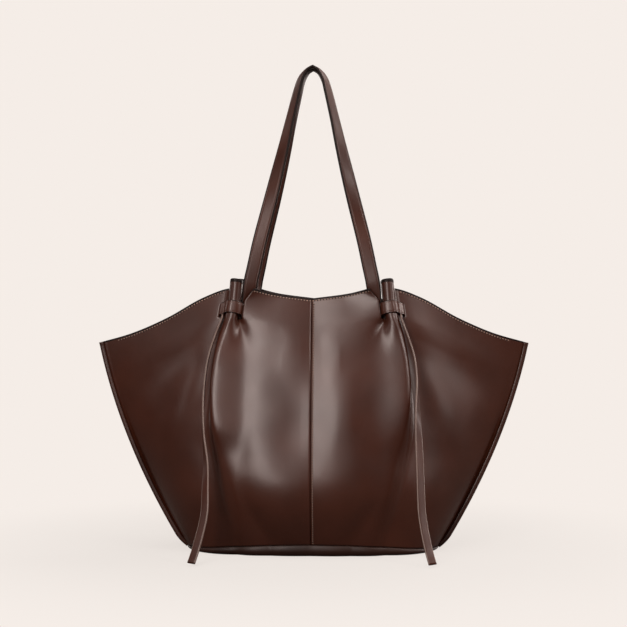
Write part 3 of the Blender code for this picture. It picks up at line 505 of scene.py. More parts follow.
def leather_material(name, colour, roughness, grain=0.00006, depth=0.35, coat=0.15, shine=0.42):
    """Smooth finished leather: cloudy colour, fine pebble grain with creases, and an uneven satin polish."""
    material, tree, shader = new_material(name)
    where = add_node(tree, "TexCoord").outputs["Object"]

    def noise(scale, detail):
        """Cloudy noise over the piece, as a link."""
        return add_node(tree, "TexNoise", {"Scale": scale, "Detail": detail, "Vector": where}).outputs["Fac"]

    tone = add_node(tree, "ValToRGB", {"Fac": noise(16.0, 4.0)})
    for stop, place, gain in zip(tone.color_ramp.elements, (0.3, 0.72), (1 - depth, 1 + depth / 2)):
        stop.position, stop.color = place, (*(part * gain for part in colour), 1.0)
    rough = add_node(tree, "MapRange", {
        "To Min": roughness - 0.05, "To Max": roughness + 0.06, "Value": noise(45.0, 3.0)})
    pebble = add_node(tree, "TexVoronoi", {"Scale": 1150.0, "Vector": where})
    grains = add_node(tree, "Math", {0: pebble.outputs["Distance"], 1: noise(330.0, 6.0)}, operation="ADD")
    bump = add_node(tree, "Bump", {"Distance": grain, "Strength": 0.6, "Height": grains.outputs["Value"]})
    fill(tree, shader, {
        "Base Color": tone.outputs["Color"], "Roughness": rough.outputs["Result"], "Normal": bump.outputs["Normal"],
        "Specular IOR Level": shine, "Coat Weight": coat, "Coat Roughness": 0.25})
    return material


PANEL_LEATHER = leather_material("panel_leather", (0.043, 0.0110, 0.0052), 0.31, grain=0.000032, depth=0.25)
LINING = leather_material("suede_inside", (0.068, 0.026, 0.015), 0.85, grain=0.0003, coat=0.0)
EDGE_PAINT = leather_material(
    "edge_paint", (0.007, 0.0026, 0.0018), 0.5, grain=0.00002, depth=0.2, coat=0.0, shine=0.16)

FACES = (("front", -1), ("back", 1))
SIDES = (("left", -1), ("right", 1))
CORNERS = [(f"{face_name}_{side_name}", side, face) for face_name, face in FACES for side_name, side in SIDES]

panel_grids = {}
for number, (corner, side, face) in enumerate(CORNERS):
    grid, cells = quarter_panel(FIRST_SEED + number, side * face > 0)
    panel_grids[corner] = grid
    in_rim = (np.arange(len(cells)) >= len(cells) + 1 - len(MOUTH_ROWS))[:, None] & cells
    quads = grid_quads(*grid.shape[:2])[cells.ravel()]
    if side * face > 0:
        quads = quads[:, ::-1]
    used, renumbered = np.unique(quads, return_inverse=True)
    points = placed(grid, side, face).reshape(-1, 3)[used]
    name = corner.replace("_", "_panel_")
    panel = new_mesh(f"{name}_leather", points, renumbered.reshape(quads.shape),
                     (PANEL_LEATHER, LINING, EDGE_PAINT), in_rim[cells] * 2)
    thicken(panel, LEATHER, 0, inside=1, rim=2)
    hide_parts(name)
    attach(panel, "bag")

# Thread
# Waxed thread in single stitches about 2 mm long, 3 mm apart: one row beside the centre seam on the right half
# panel, and one row just below each mouth edge, where it also holds the facing.
SEAM_PITCH = 0.0029
MOUTH_PITCH = 0.0034
STITCH_SHARE = 0.68
STITCH_RADIUS = 0.00060
HOLE_SHARE = 0.46
HOLE_RADIUS = 0.00080
SEAM_STITCH_INSET = 0.0025
MOUTH_STITCH_DROP = 0.0032
MOUTH_ROW_POINTS = 300
SEAM_GAP, SLOT_GAP, SLIT_GAP, SIDE_GAP = 0.6, 0.4, 0.1, 7.0
SPINDLE_POWER = 4
SPINDLE_END = 0.04
TUBE_STEPS = 6
NEAR_SEAM = 40


def on_grid(grid, rows, columns):
    """Points between the rows and columns of a grid, by the four nearest ones."""
    rows, columns = np.broadcast_arrays(np.asarray(rows, float), np.asarray(columns, float))
    row = np.clip(rows.astype(int), 0, grid.shape[0] - 2)
    column = np.clip(columns.astype(int), 0, grid.shape[1] - 2)
    up, along = (rows - row)[..., None], (columns - column)[..., None]
    lower = grid[row, column] * (1 - along) + grid[row, column + 1] * along
    upper = grid[row + 1, column] * (1 - along) + grid[row + 1, column + 1] * along
    return lower * (1 - up) + upper * up


def unit(vectors):
    """Vectors divided by their lengths."""
    return vectors / np.linalg.norm(vectors, axis=-1, keepdims=True)


def grid_normals(grid):
    """Directions square to a grid: the cross product of its slopes up the rows and along the columns."""
    return unit(np.cross(np.gradient(grid, axis=0), np.gradient(grid, axis=1)))


def travelled(path):
    """Distance along a path to each of its points."""
    return np.concatenate([[0], np.cumsum(np.linalg.norm(np.diff(path, axis=0), axis=1))])


def read_off(at, travel, values):
    """Rows of values known at distances of travel, in proportion between them."""
    return np.stack([np.interp(at, travel, column) for column in values.T], axis=1)


def stitch_row(path, normals, pitch, length, radius, shift):
    """Stitches spaced evenly along a path: each a spindle whose half width is the root of a little over one less
    its length share to the fourth, lying in the leather by half its thickness. The shift moves them along by a
    share of the pitch."""
    travel = travelled(path)
    at = np.arange(pitch * (0.5 + shift), travel[-1] - pitch / 2, pitch)
    centres = read_off(at, travel, path)
    up = unit(read_off(at, travel, normals))
    along = unit(read_off(at + radius, travel, path) - centres)
    share = np.linspace(-1, 1, TUBE_STEPS)[:, None]
    turn = np.arange(TUBE_STEPS)[None, :] * 2 * math.pi / TUBE_STEPS
    thick = radius * np.sqrt(clamped(1 + SPINDLE_END - share**SPINDLE_POWER))
    lengthwise = share * length / 2 + 0 * turn
    sideways, upwards = thick * np.cos(turn), min(radius, STITCH_RADIUS / 2) * thick / radius * np.sin(turn)
    offsets = np.stack([lengthwise, sideways, upwards], axis=-1).reshape(-1, 3)
    axes = np.stack([along, np.cross(up, along), up], axis=1)
    return centres[:, None, :] + np.einsum("pk,nkc->npc", offsets, axes)


def stitched(path, normals, pitch, side, face):
    """The stitches along a path, and half a pitch further on the tubes that paint the shade in the pricked holes."""
    return (placed(stitch_row(path, normals, pitch, STITCH_SHARE * pitch, STITCH_RADIUS, 0.0), side, face),
            placed(stitch_row(path, normals, pitch, HOLE_SHARE * pitch, HOLE_RADIUS, 0.5), side, face))


def stitches(name, runs):
    """One mesh of all the stitches of a row and of the near-black tubes between them that paint the shade in the
    pricked holes, each a small closed tube with flat ends."""
    threads, holes = (np.concatenate([run[kind] for run in runs]) for kind in range(2))
    each = np.concatenate([threads, holes])
    one = grid_quads(TUBE_STEPS, TUBE_STEPS, closed=True)
    size = TUBE_STEPS**2
    quads = (one[None] + size * np.arange(len(each))[:, None, None]).reshape(-1, 4)
    rings = (range(TUBE_STEPS)[::-1], range(size)[-TUBE_STEPS:])
    ends = [tuple(size * number + step for step in ring) for number in range(len(each)) for ring in rings]
    slots = np.repeat((0, 1), (len(threads) * len(one), len(holes) * len(one)))
    piece = new_mesh(name, each, quads, (THREAD_AND_GLINT, PAINTED_HOLE_SHADE), slots, ends)
    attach(piece, "bag")


# The thread is a light tan, lighter than the leather: partly its own colour and partly a painted glint on each
# stitch.
THREAD_AND_GLINT = leather_material("waxed_thread_painted_glint", (0.255, 0.160, 0.125), 0.5, grain=0.00004, coat=0.0)
# The near-black tubes between the stitches are painted shade in the pricked holes.
PAINTED_HOLE_SHADE = leather_material("pricked_hole_painted_shade", (0.004, 0.0018, 0.0012), 0.8, grain=0.00002, coat=0.0)

for face_name, face in FACES:
    mouth_runs, seam_runs = [], []
    for side_name, side in SIDES:
        grid = panel_grids[f"{face_name}_{side_name}"]
        rows, columns = grid.shape[:2]
        normals = grid_normals(grid)
        below_rim = np.linalg.norm(np.diff(grid, axis=0), axis=2)[::-1].cumsum(axis=0)
        for first, last in ((SEAM_GAP, SLOT_COLUMN - SLOT_GAP), (SLIT_COLUMN + SLIT_GAP, columns - SIDE_GAP)):
            at = np.linspace(first, last, MOUTH_ROW_POINTS)
            row = rows - 2 - np.array([
                np.interp(MOUTH_STITCH_DROP, below_rim[:, int(column)], np.arange(rows - 1)) for column in at])
            path = on_grid(grid, row, at)
            mouth_runs.append(stitched(path, on_grid(normals, row, at), MOUTH_PITCH, side, face))
        if side > 0:
            level = np.arange(2, rows - 3)
            reach = np.array([
                np.interp(SEAM_STITCH_INSET, grid[row, :NEAR_SEAM, 0], np.arange(NEAR_SEAM)) for row in level])
            path = on_grid(grid, level, reach)
            seam_runs.append(stitched(path, on_grid(normals, level, reach), SEAM_PITCH, side, face))
    stitches(f"mouth_stitching_{face_name}", mouth_runs)
    stitches(f"seam_stitching_{face_name}", seam_runs)

# Side bindings
# A narrow strip of the same leather is folded over the raw edges of front and back panel and sewn down, from the
# floor, where it is drawn in behind the corner of the base, up to the wing tip, where its end is folded in.
BINDING_THICKNESS = 0.0009
BINDING_WIDTH = 0.0030
BINDING_FOOT = 0.0016
BINDING_PINCH = 0.0002
BINDING_FLATS = (-0.0018, -0.0009)
FOOT_TUCK = 0.0042
FOOT_TAPER = 0.35
FOOT_SHARE = 0.06
TIP_SWELL = 0.22
TIP_START, TIP_SHARE = 0.985, 0.015


def binding_surface():
    """A U profile, two flat sides joined by a half ellipse, carried up the bowed side edge. It is narrower and
    drawn in at the foot, and swells at the tip."""
    share = np.linspace(0, 1, 90)
    at_foot = clamped(1 - share / FOOT_SHARE) ** 2
    x = side_half_width(share) - FOOT_TUCK * at_foot
    edge = stacked(x, 0 * x, BINDING_FOOT + (TIP_HEIGHT - BINDING_FOOT) * share)
    tangent = unit(np.gradient(edge, axis=0))
    outward = np.stack([tangent[:, 2], 0 * x, -tangent[:, 0]], axis=1)
    half = SEAM_DEPTH + JOIN_GAP + BINDING_THICKNESS
    turn = np.linspace(-math.pi / 2, math.pi / 2, 13)
    side_out = np.array((JOIN_GAP - BINDING_WIDTH, *BINDING_FLATS))
    side_depth = np.array((half - BINDING_PINCH, half, half))
    out = np.concatenate([side_out, 0.5 * half * np.cos(turn), side_out[::-1]])
    depth = np.concatenate([-side_depth, half * np.sin(turn), side_depth[::-1]])
    size = 1 + TIP_SWELL * clamped((share - TIP_START) / TIP_SHARE) - FOOT_TAPER * at_foot
    offsets = outward[:, None, :] * out[None, :, None] + np.array((0, 1.0, 0)) * depth[None, :, None]
    return edge[:, None, :] + offsets * size[:, None, None]


def sheet_mesh(name, surface, side, face, materials):
    """An open sheet from a grid of quarter coordinates, placed with its front turned outward."""
    quads = grid_quads(*surface.shape[:2])
    return new_mesh(name, placed(surface, side, face), quads[:, ::-1] if side * face > 0 else quads, materials)


BINDING_LEATHER = leather_material("binding_leather", (0.034, 0.0092, 0.0046), 0.36)

for side_name, side in SIDES:
    binding = sheet_mesh(f"side_binding_{side_name}_leather", binding_surface(), side, 1, (BINDING_LEATHER,))
    thicken(binding, BINDING_THICKNESS, 0.00025)
    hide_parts(f"side_binding_{side_name}")
    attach(binding, "bag")

# Base
# A shallow tray of heavier leather is sewn to the lower edges of the panels, and a stiff fibre board covered in
# suede lies in it to hold the floor of the bag flat.
BASE_INSET = 0.004
BASE_SWELL = 0.0006
BASE_RINGS = ((1.0, 0.0011), (0.93, 0.0004), (0.82, 0.0), (0.6, -BASE_SWELL), (0.4, -BASE_SWELL / 2),
              (0.2, 0.0006), (0.07, 0.002), (0.0, BASE_INSET))
BOARD_THICKNESS = 0.0025
BOARD_CLEARANCE = 0.004
BOARD_ROUNDING = 0.0004
BOARD_EDGE_SHARE = 0.9975


def base_loop():
    """The base seam as a closed loop, the lowest row of the panels the whole way round."""
    row = np.zeros((1, 1))
    inner = swelled(row)[0]
    quarter = np.concatenate([
        inner[len(SEAM_STEPS):CENTRE_STEPS.size], inner[CENTRE_STEPS.size::6], wing_stretch(row)[0, 1:-1:2]])
    quarter = np.concatenate([quarter[:1] * (0, 1, 1), quarter])
    front = np.concatenate([(quarter * (-1, 1, 1))[::-1], quarter[1:]])
    return np.concatenate([front, front[::-1] * (1, -1, 1)])


def loop_inset(loop, distance):
    """A closed loop moved in square to itself in plan."""
    tangent = np.roll(loop, -1, axis=0) - np.roll(loop, 1, axis=0)
    outward = unit(np.stack([tangent[:, 1], -tangent[:, 0], 0 * tangent[:, 0]], axis=1))
    outward *= np.sign((outward * (loop - loop.mean(axis=0))).sum())
    return loop - outward * distance


BASE_LEATHER = leather_material("base_leather", (0.021, 0.0064, 0.0035), 0.48, coat=0.05, shine=0.3)
BOARD_COVER = leather_material("board_cover", (0.060, 0.032, 0.022), 0.88, grain=0.0003, coat=0.0)

loop = base_loop()
count = len(loop)
rings = []
for share, inset in BASE_RINGS:
    ring = loop_inset(loop, inset)
    ring[:, 2] = (loop[:, 2] - JOIN_GAP) * share
    rings.append(ring)
floor_face = tuple(range(len(rings) * count))[-count:]
base = new_mesh("base_panel_leather", np.concatenate(rings), grid_quads(len(rings), count, closed=True),
                (BASE_LEATHER,), caps=[floor_face])
if base.data.polygons[-1].normal.z > 0:
    base.data.flip_normals()
thicken(base, LEATHER, 0.0003)
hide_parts("base_panel")
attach(base, "bag")

half_plan = loop.max(axis=0)[:2]
plan = loop[:, :2] * (half_plan - BASE_INSET - LEATHER - BOARD_CLEARANCE) / half_plan
low = LEATHER + JOIN_GAP
levels = [(low, BOARD_EDGE_SHARE), (low + BOARD_ROUNDING, 1.0), (low + BOARD_THICKNESS - BOARD_ROUNDING, 1.0),
          (low + BOARD_THICKNESS, BOARD_EDGE_SHARE)]
rings = [stacked(plan[:, 0] * share, plan[:, 1] * share, z) for z, share in levels]
caps = [tuple(range(count)), tuple(range(4 * count))[:-count - 1:-1]]
board = new_mesh("base_board_cover", np.concatenate(rings), grid_quads(4, count, closed=True), (BOARD_COVER,),
                 caps=caps)
if board.data.polygons[-1].normal.z < 0:
    board.data.flip_normals()
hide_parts("base_board")
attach(board, "bag")

# Facings and patches
# Thin suede strips are sewn inside the mouth edge, one over each centre and one in each wing. A narrow tape is
# glued over the inside of each centre seam, and a small patch behind each keeper takes the pull of the handle.
FACING_THICKNESS = 0.0008
FACING_DROP = 0.015
FACING_TOP = 0.999
WING_TRIM, LIP_TRIM = 8, 6
TAPE_WIDTH = 0.013
TAPE_THICKNESS = 0.0006
TAPE_FOOT = 0.001
TAPE_STEPS = (0.0, 0.25, 0.4, 0.7, 1.0)
ROLL_CLEARANCE = 0.0025
ROLL_STANDOFF = 0.0006
PATCH_STANDOFF = 0.0018
PATCH_THICKNESS = 0.0012
PATCH_OVERHANG = 0.0025
PATCH_HEIGHT = 0.022
TONGUE_THICKNESS = 0.0018
BACK_REACH = PLEAT_RADIUS * -math.cos(PLEAT_THROAT_TURN) + LEATHER + JOIN_GAP + PATCH_STANDOFF + KEEPER_THICKNESS / 2
INNER_LEG = PLEAT_RADIUS + TONGUE_THICKNESS + 2 * JOIN_GAP + KEEPER_THICKNESS / 2
OUTER_LEG = SLIT_REACH + SLIT_WIDTH / 2
FRONT_REACH = PLEAT_RADIUS + JOIN_GAP + KEEPER_THICKNESS / 2


def behind_leather(surface):
    """A grid moved back, square to itself, by the leather's thickness and the gap of a join."""
    return surface - grid_normals(surface) * (LEATHER + JOIN_GAP)


def seam_tape(left, right):
    """A strip that follows the inside of both panels' seam edges from just above the base up to the facing, and
    stands a little off where the edges roll in."""
    z = left[:, 0, 2]
    level = np.flatnonzero((z > z[0] + TAPE_FOOT) & (z < facing_low - JOIN_GAP))
    z = np.append(z[level[:-1]], facing_low - JOIN_GAP)
    reach = np.array(TAPE_STEPS) * TAPE_WIDTH / 2
    beyond = np.maximum(reach, ROLL_CLEARANCE)
    stand = LEATHER + 2 * JOIN_GAP + ROLL_STANDOFF * (reach < beyond)
    depths = [np.array([np.interp(beyond, *grid[row, :NEAR_SEAM, :2].T) for row in level]) - stand
              for grid in (left, right)]
    across = np.concatenate([-reach[:0:-1], reach])
    return stacked(across, np.concatenate([depths[0][:, :0:-1], depths[1]], axis=1), z[:, None])


def pleat_axis(z):
    """(x, depth) of the tube's centre line at a height z, beside the keeper."""
    height = height_share_of(z)
    feet = (panel_depth(INNER_FOOT_DEPTHS, height) + panel_depth(OUTER_FOOT_DEPTHS, height)) / 2
    return pleat_x(height), feet - PLEAT_RADIUS * math.cos(PLEAT_THROAT_TURN)


def beside_pleat(outward, forward, z):
    """A point by its distances outward and forward from the tube's centre line at a height z."""
    x, depth = pleat_axis(np.asarray(z, float))
    return stacked(x + outward, depth + forward, z)


FACING_SUEDE = leather_material("facing_suede", (0.052, 0.026, 0.018), 0.75, grain=0.0002, coat=0.0)

facing_rows = np.linspace(1 - FACING_DROP / CROWN_HEIGHT, FACING_TOP, 8)[:, None]
wing_strip = behind_leather(wing_stretch(facing_rows))[:, WING_TRIM:-WING_TRIM]
half_strip = behind_leather(centre_stretch(facing_rows)[:, len(SEAM_STEPS):])[:, :-LIP_TRIM]
mouth_strip = np.concatenate([(half_strip * (-1, 1, 1))[:, ::-1], half_strip], axis=1)
facing_low = float(half_strip[0, 0, 2])
for node, strip, side, face in (
        [(f"wing_facing_{corner}", wing_strip, side, face) for corner, side, face in CORNERS]
        + [(f"mouth_facing_{face_name}", mouth_strip, 1, face) for face_name, face in FACES]):
    facing = sheet_mesh(f"{node}_suede", strip, side, face, (FACING_SUEDE, EDGE_PAINT))
    thicken(facing, FACING_THICKNESS, 0.0002, rim=1)
    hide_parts(node)
    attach(facing, "bag")

for face_name, face in FACES:
    strip = seam_tape(panel_grids[f"{face_name}_left"], panel_grids[f"{face_name}_right"])
    tape = sheet_mesh(f"seam_tape_{face_name}_suede", strip, 1, face, (FACING_SUEDE,))
    thicken(tape, TAPE_THICKNESS, 0)
    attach(tape, "bag")

across, up = np.meshgrid(np.linspace(-1, 1, 9), np.linspace(-1, 1, 9))
middle, wide = (OUTER_LEG - INNER_LEG) / 2, (INNER_LEG + OUTER_LEG) / 2 + PATCH_OVERHANG
patch_sheet = beside_pleat(middle + wide * across, -(BACK_REACH + KEEPER_THICKNESS / 2 + JOIN_GAP),
                           KEEPER_HEIGHT + PATCH_HEIGHT / 2 * up)
for corner, side, face in CORNERS:
    patch = sheet_mesh(f"pleat_patch_{corner}_suede", patch_sheet, side, face, (FACING_SUEDE, EDGE_PAINT))
    thicken(patch, PATCH_THICKNESS, 0.0003, rim=1)
    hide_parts(f"pleat_patch_{corner}")
    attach(patch, "bag")

# Keepers
# A band of leather with painted edges goes round each pinched pleat. It comes out of the slit on the wing side,
# lies over the tube, and goes back in through the slot beside the strap.
KEEPER_LEAN = 0.34
TONGUE_FRONT = PLEAT_RADIUS / 3
KEEPER_CROWN = 0.0003
KEEPER_GROOVE = 0.00012
KEEPER_ARC = (72, -4)
CORNER_PASSES = 12
FACE_INSETS = np.array((0.0009, 0.0011, 0.0013, 0.0024))


def keeper_line():
    """The band's closed route in plan: a quarter ellipse over the strap's side of the tube, an arc over the other
    side, down into the slit, and straight across the back. Corners are rounded by averaging along the line."""
    shoulder = TONGUE_FRONT - JOIN_GAP
    sweep = np.linspace(0, math.pi / 2, 14)
    inner = np.stack([-INNER_LEG * np.cos(sweep), shoulder + (FRONT_REACH - shoulder) * np.sin(sweep)], axis=1)
    clear = FRONT_REACH + KEEPER_SLACK
    around = np.radians(np.linspace(*KEEPER_ARC, 12))
    outer = np.stack([clear * np.cos(around), clear * np.sin(around)], axis=1)
    panel_front = -(BACK_REACH - KEEPER_THICKNESS / 2 - JOIN_GAP - LEATHER - KEEPER_THICKNESS)
    back = [(OUTER_LEG, panel_front), (OUTER_LEG, -BACK_REACH), (-INNER_LEG, -BACK_REACH)]
    corners = np.concatenate([inner, outer, back, inner[:1]])
    length = travelled(corners)
    line = read_off(np.linspace(0, length[-1], 181)[:-1], length, corners)
    for _ in range(CORNER_PASSES):
        line = (np.roll(line, 1, axis=0) + 2 * line + np.roll(line, -1, axis=0)) / 4
    return line


def strip_sections(centres, across, through, width, thickness, crown, groove=0.0):
    """Sections of a strip along a path. Each is width across and thickness through, with half round edges joined
    by faces that rise to a crown as a parabola, and a line pressed into them beside each edge. It also returns
    which points lie on the painted edges."""
    width, thickness = (np.broadcast_to(np.asarray(size, float), (len(centres),))[:, None]
                        for size in (width, thickness))
    half = thickness / 2
    turn = np.linspace(0, math.pi, 7)
    edge_reach = width / 2 - 0.5 * (1 - np.sin(turn)) * thickness
    face_reach = width / 2 - (half + FACE_INSETS)
    bulge = crown * (1 - ((width / 2 - half - FACE_INSETS) / (width / 2)) ** 2)
    face_height = half - np.array((0.0, groove, 0.0, 0.0)) + bulge
    over, up = [], []
    for side in (1, -1):
        over += [side * edge_reach, side * face_reach, 0 * half, -side * face_reach[:, ::-1]]
        up += [half * np.cos(turn) * side, -side * face_height, -side * (half + crown), -side * face_height[:, ::-1]]
    over, up = np.concatenate(over, axis=1)[..., None], np.concatenate(up, axis=1)[..., None]
    points = centres[:, None, :] + over * across[:, None, :] + up * through[:, None, :]
    return points, np.tile([1] * len(turn) + [0] * (2 * len(FACE_INSETS) + 1), 2)


def strip_mesh(name, points, painted, materials, closed_path=False, flip=False):
    """Skins strip sections. A closed path joins its last section to its first, and another path gets end caps."""
    stations, around = points.shape[:2]
    edge = painted & np.roll(painted, -1)
    if closed_path:
        points, slot_of, caps = np.swapaxes(points, 0, 1), np.repeat(edge, stations), []
        quads = grid_quads(around, stations, closed=True, looped=True)
    else:
        quads, slot_of = grid_quads(stations, around, closed=True), np.tile(edge, stations - 1)
        caps = [tuple(range(around))[::-1], tuple(range(stations * around))[-around:]]
    if flip:
        quads, caps = quads[:, ::-1], [cap[::-1] for cap in caps]
    return new_mesh(name, points, quads, materials, slot_of, caps)


# The keeper's leather is a lighter copy of the panels' leather; the extra lightness is a painted highlight on the
# keeper's front.
KEEPER_LEATHER_PAINTED_HIGHLIGHT = leather_material("keeper_leather", (0.056, 0.0152, 0.0076), 0.28, grain=0.00003)

line = keeper_line()
low_x, high_x = (pleat_axis(KEEPER_HEIGHT + end * KEEPER_BAND / 2)[0] for end in (-1, 1))
band_height = KEEPER_HEIGHT + line[:, 0] * (float(low_x - high_x) / KEEPER_BAND) + line[:, 1] * KEEPER_LEAN
band_centres = beside_pleat(line[:, 0], line[:, 1], band_height)
tangent = unit(np.roll(line, -1, axis=0) - np.roll(line, 1, axis=0))
band_out = np.stack([-tangent[:, 1], tangent[:, 0], 0 * tangent[:, 0]], axis=1)
band_out *= np.sign((band_out[:, :2] * (line - line.mean(axis=0))).sum())
slope = unit(beside_pleat(line[:, 0], line[:, 1], band_height + KEEPER_BAND / 2) - band_centres)
band_points, band_painted = strip_sections(
    band_centres, slope, band_out, KEEPER_BAND, KEEPER_THICKNESS, KEEPER_CROWN, KEEPER_GROOVE)

for corner, side, face in CORNERS:
    keeper = strip_mesh(f"keeper_{corner}_leather", placed(band_points, side, face), band_painted,
                        (KEEPER_LEATHER_PAINTED_HIGHLIGHT, EDGE_PAINT), closed_path=True, flip=side * face > 0)
    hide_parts(f"keeper_{corner}")
    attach(keeper, "bag")

# Handles
# Each handle is one flat strap of two layers with painted edges and a pressed line beside them. Its ends taper
# to tongues that go down behind the lip of the centre stretch, and between them it turns edge on over the top.
STRAP_WIDTH = 0.0165
STRAP_THICKNESS = 0.0032
STRAP_CROWN = 0.0002
STRAP_GROOVE = 0.00015
HANDLE_TOP_HEIGHT = 0.5575
HANDLE_LIFT = 0.0068
HANDLE_SPACING = 0.0214
HINGE_Z = float(mouth_height(lip_x(1.0))) + HANDLE_LIFT
HINGE_X = PLEAT_TOP_X - PLEAT_RADIUS - JOIN_GAP - STRAP_WIDTH / 2
HINGE_DEPTH = float(panel_depth(LIP_DEPTHS, 1.0)) - LEATHER - JOIN_GAP
STRAP_DEPTH = HINGE_DEPTH - STRAP_THICKNESS / 2
LEG_RISES = (0.0, 0.068, 0.2, 0.404, 0.61, 0.75, 0.88, 0.945, 0.985, 1.0)
LEG_SPANS = (1.0, 0.944, 0.843, 0.66, 0.484, 0.372, 0.262, 0.195, 0.1, 0.0)
LEG_TWISTS = (-5.0, -2.0, 4.0, 18.0, 40.0, 54.0, 61.0, 69.0, 81.0, 90.0)
TONGUE_HEIGHTS = (0.276, 0.282, 0.288, 0.294, 0.300, 0.3065)
TONGUE_WIDTHS = (0.0045, 0.0052, 0.0085, 0.0135, 0.0161, 0.0165)
TONGUE_TURNS = (80.0, 62.0, 30.0, 12.0, 5.0, 4.0)
TONGUE_TILT = math.radians(12)
TONGUE_SETTLING = 1.15
FOLD_SMOOTHING = 30
FOLD_STATIONS = (11, 9)


def leg_sections():
    """One leg from inside the keeper to the top. Above the fold its middle line follows the measured rise and
    span, and its face turns from forward to sideways. Below it the strap narrows along the tube's side."""
    share = np.linspace(0, 1, 110)
    length = np.linspace(0, 1, len(LEG_RISES))
    rise = steady_through(length, LEG_RISES, share)
    x = HINGE_X * steady_through(length, LEG_SPANS, share)
    twist = np.radians(steady_through(length, LEG_TWISTS, share))[:, None]
    depth = STRAP_DEPTH + (HANDLE_SPACING / 2 - STRAP_DEPTH) * rise
    upper = stacked(x, depth, HINGE_Z + rise * (HANDLE_TOP_HEIGHT - STRAP_THICKNESS / 2 - HINGE_Z))
    tangent = np.gradient(upper, axis=0)
    tangent[-1] = (-1, 0, 0)
    tangent = unit(tangent)
    forward = unit(np.array((0, 1.0, 0)) - tangent[:, 1:2] * tangent)
    outward = np.cross(forward, tangent)
    across = outward * np.cos(twist) - forward * np.sin(twist)
    through = forward * np.cos(twist) + outward * np.sin(twist)

    z = np.linspace(TONGUE_HEIGHTS[0], HINGE_Z, 26)[:-1]
    width = steady_through(TONGUE_HEIGHTS, TONGUE_WIDTHS, z)
    angle = np.radians(steady_through(TONGUE_HEIGHTS, TONGUE_TURNS, z))
    below = clamped((HINGE_Z - z) / (HINGE_Z - TONGUE_HEIGHTS[0]))
    thick = STRAP_THICKNESS + (TONGUE_THICKNESS - STRAP_THICKNESS) * below
    tube_x, tube_depth = pleat_axis(z)
    edge_x = tube_x - PLEAT_RADIUS - 2 * JOIN_GAP - thick / 2 * np.sin(angle)
    edge_depth = STRAP_DEPTH + (tube_depth + TONGUE_FRONT - STRAP_DEPTH) * clamped(below * TONGUE_SETTLING)
    above = clamped((z - TONGUE_HEIGHTS[2]) / (HINGE_Z - TONGUE_HEIGHTS[2]))
    tilt = TONGUE_TILT * above
    low_across = np.stack([np.cos(angle) * np.cos(tilt), np.sin(angle), np.cos(angle) * np.sin(tilt)], axis=1)
    low_through = np.stack([-np.sin(angle), np.cos(angle), 0 * angle], axis=1)
    lower = stacked(edge_x, edge_depth, z) - low_across * width[:, None] / 2
    lower[:, 2] = z
    end = stacked(edge_x[-1], edge_depth[-1], HINGE_Z) - low_across[-1] * STRAP_WIDTH / 2
    lower += (upper[0] - end) * (above[:, None] * (1, 1, 0))

    centres = np.concatenate([lower, upper])
    across, through = np.concatenate([low_across, across]), np.concatenate([low_through, through])
    first, last = len(lower) - FOLD_STATIONS[0], len(lower) + FOLD_STATIONS[1]
    for _ in range(FOLD_SMOOTHING):
        for path in (centres, across, through):
            path[first:last] = (path[:-2] + 2 * path[1:-1] + path[2:])[first - 1:last - 1] / 4
    widths = np.concatenate([width, np.full(len(upper), STRAP_WIDTH)])
    thicks = np.concatenate([thick, np.full(len(upper), STRAP_THICKNESS)])
    return centres, unit(across), unit(through), widths, thicks


STRAP_LEATHER = leather_material("strap_leather", (0.043, 0.0112, 0.0054), 0.37, grain=0.00004, coat=0.03, shine=0.28)

centres, across, through, *strap_sizes = leg_sections()
right, strap_painted = strip_sections(centres, across, through, *strap_sizes, STRAP_CROWN, STRAP_GROOVE)
left, _ = strip_sections(centres * (-1, 1, 1), across * (1, -1, -1), through * (-1, 1, 1), *strap_sizes,
                         STRAP_CROWN, STRAP_GROOVE)
strap_points = np.concatenate([right, left[:-1][::-1]])

for face_name, face in FACES:
    strap = strip_mesh(f"handle_{face_name}_strap", placed(strap_points, 1, face), strap_painted,
                       (STRAP_LEATHER, EDGE_PAINT), flip=face < 0)
    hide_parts(f"handle_{face_name}", f"strap_end_{face_name}_left", f"strap_end_{face_name}_right")
    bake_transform(strap)

# Ties
# A thin flat strip with burnished edges is sewn under each keeper and hangs over the belly to the floor. It is
# edge on at the top, turns its face forward below, and its end is cut square.
TIE_WIDTH = 0.0095
TIE_THICKNESS = 0.0022
TIE_CROWN = 0.00015
TIE_SPREAD = 0.0265
TIE_REACH = 0.1015
TIE_TIP_CLEARANCE = 0.0035
TIE_TUCK = 0.012
TIE_TUCK_REACH = 0.9
TIE_TUCK_TAPER = 0.45
TIE_ROOT = (0.1013, 0.046727, 0.267318)
TIE_DROPS = (0.0, 0.065, 0.165, 0.27, 0.37, 0.49, 0.61, 0.71, 0.805, 0.893, 0.97, 1.0)
TIE_REACHES = (0.0, 0.055, 0.15, 0.25, 0.362, 0.49, 0.608, 0.70, 0.788, 0.875, 0.955, 1.0)
TIE_SPREADS = {
    -1: (0.0, 0.245, 0.536, 0.668, 0.694, 0.63, 0.487, 0.483, 0.49, 0.653, 0.857, 0.95),
    1: (0.0, 0.245, 0.555, 0.668, 0.67, 0.705, 0.75, 0.78, 0.82, 0.96, 1.14, 1.23),
}
TIE_TWISTS = {
    -1: (0.0, 0.0, 0.0, 0.0, 2.0, 12.0, 34.0, 54.0, 65.0, 70.0, 72.0, 74.0),
    1: (0.0, 0.0, 0.0, 4.0, 26.0, 54.0, 64.0, 69.0, 72.0, 72.0, 73.0, 74.0),
}


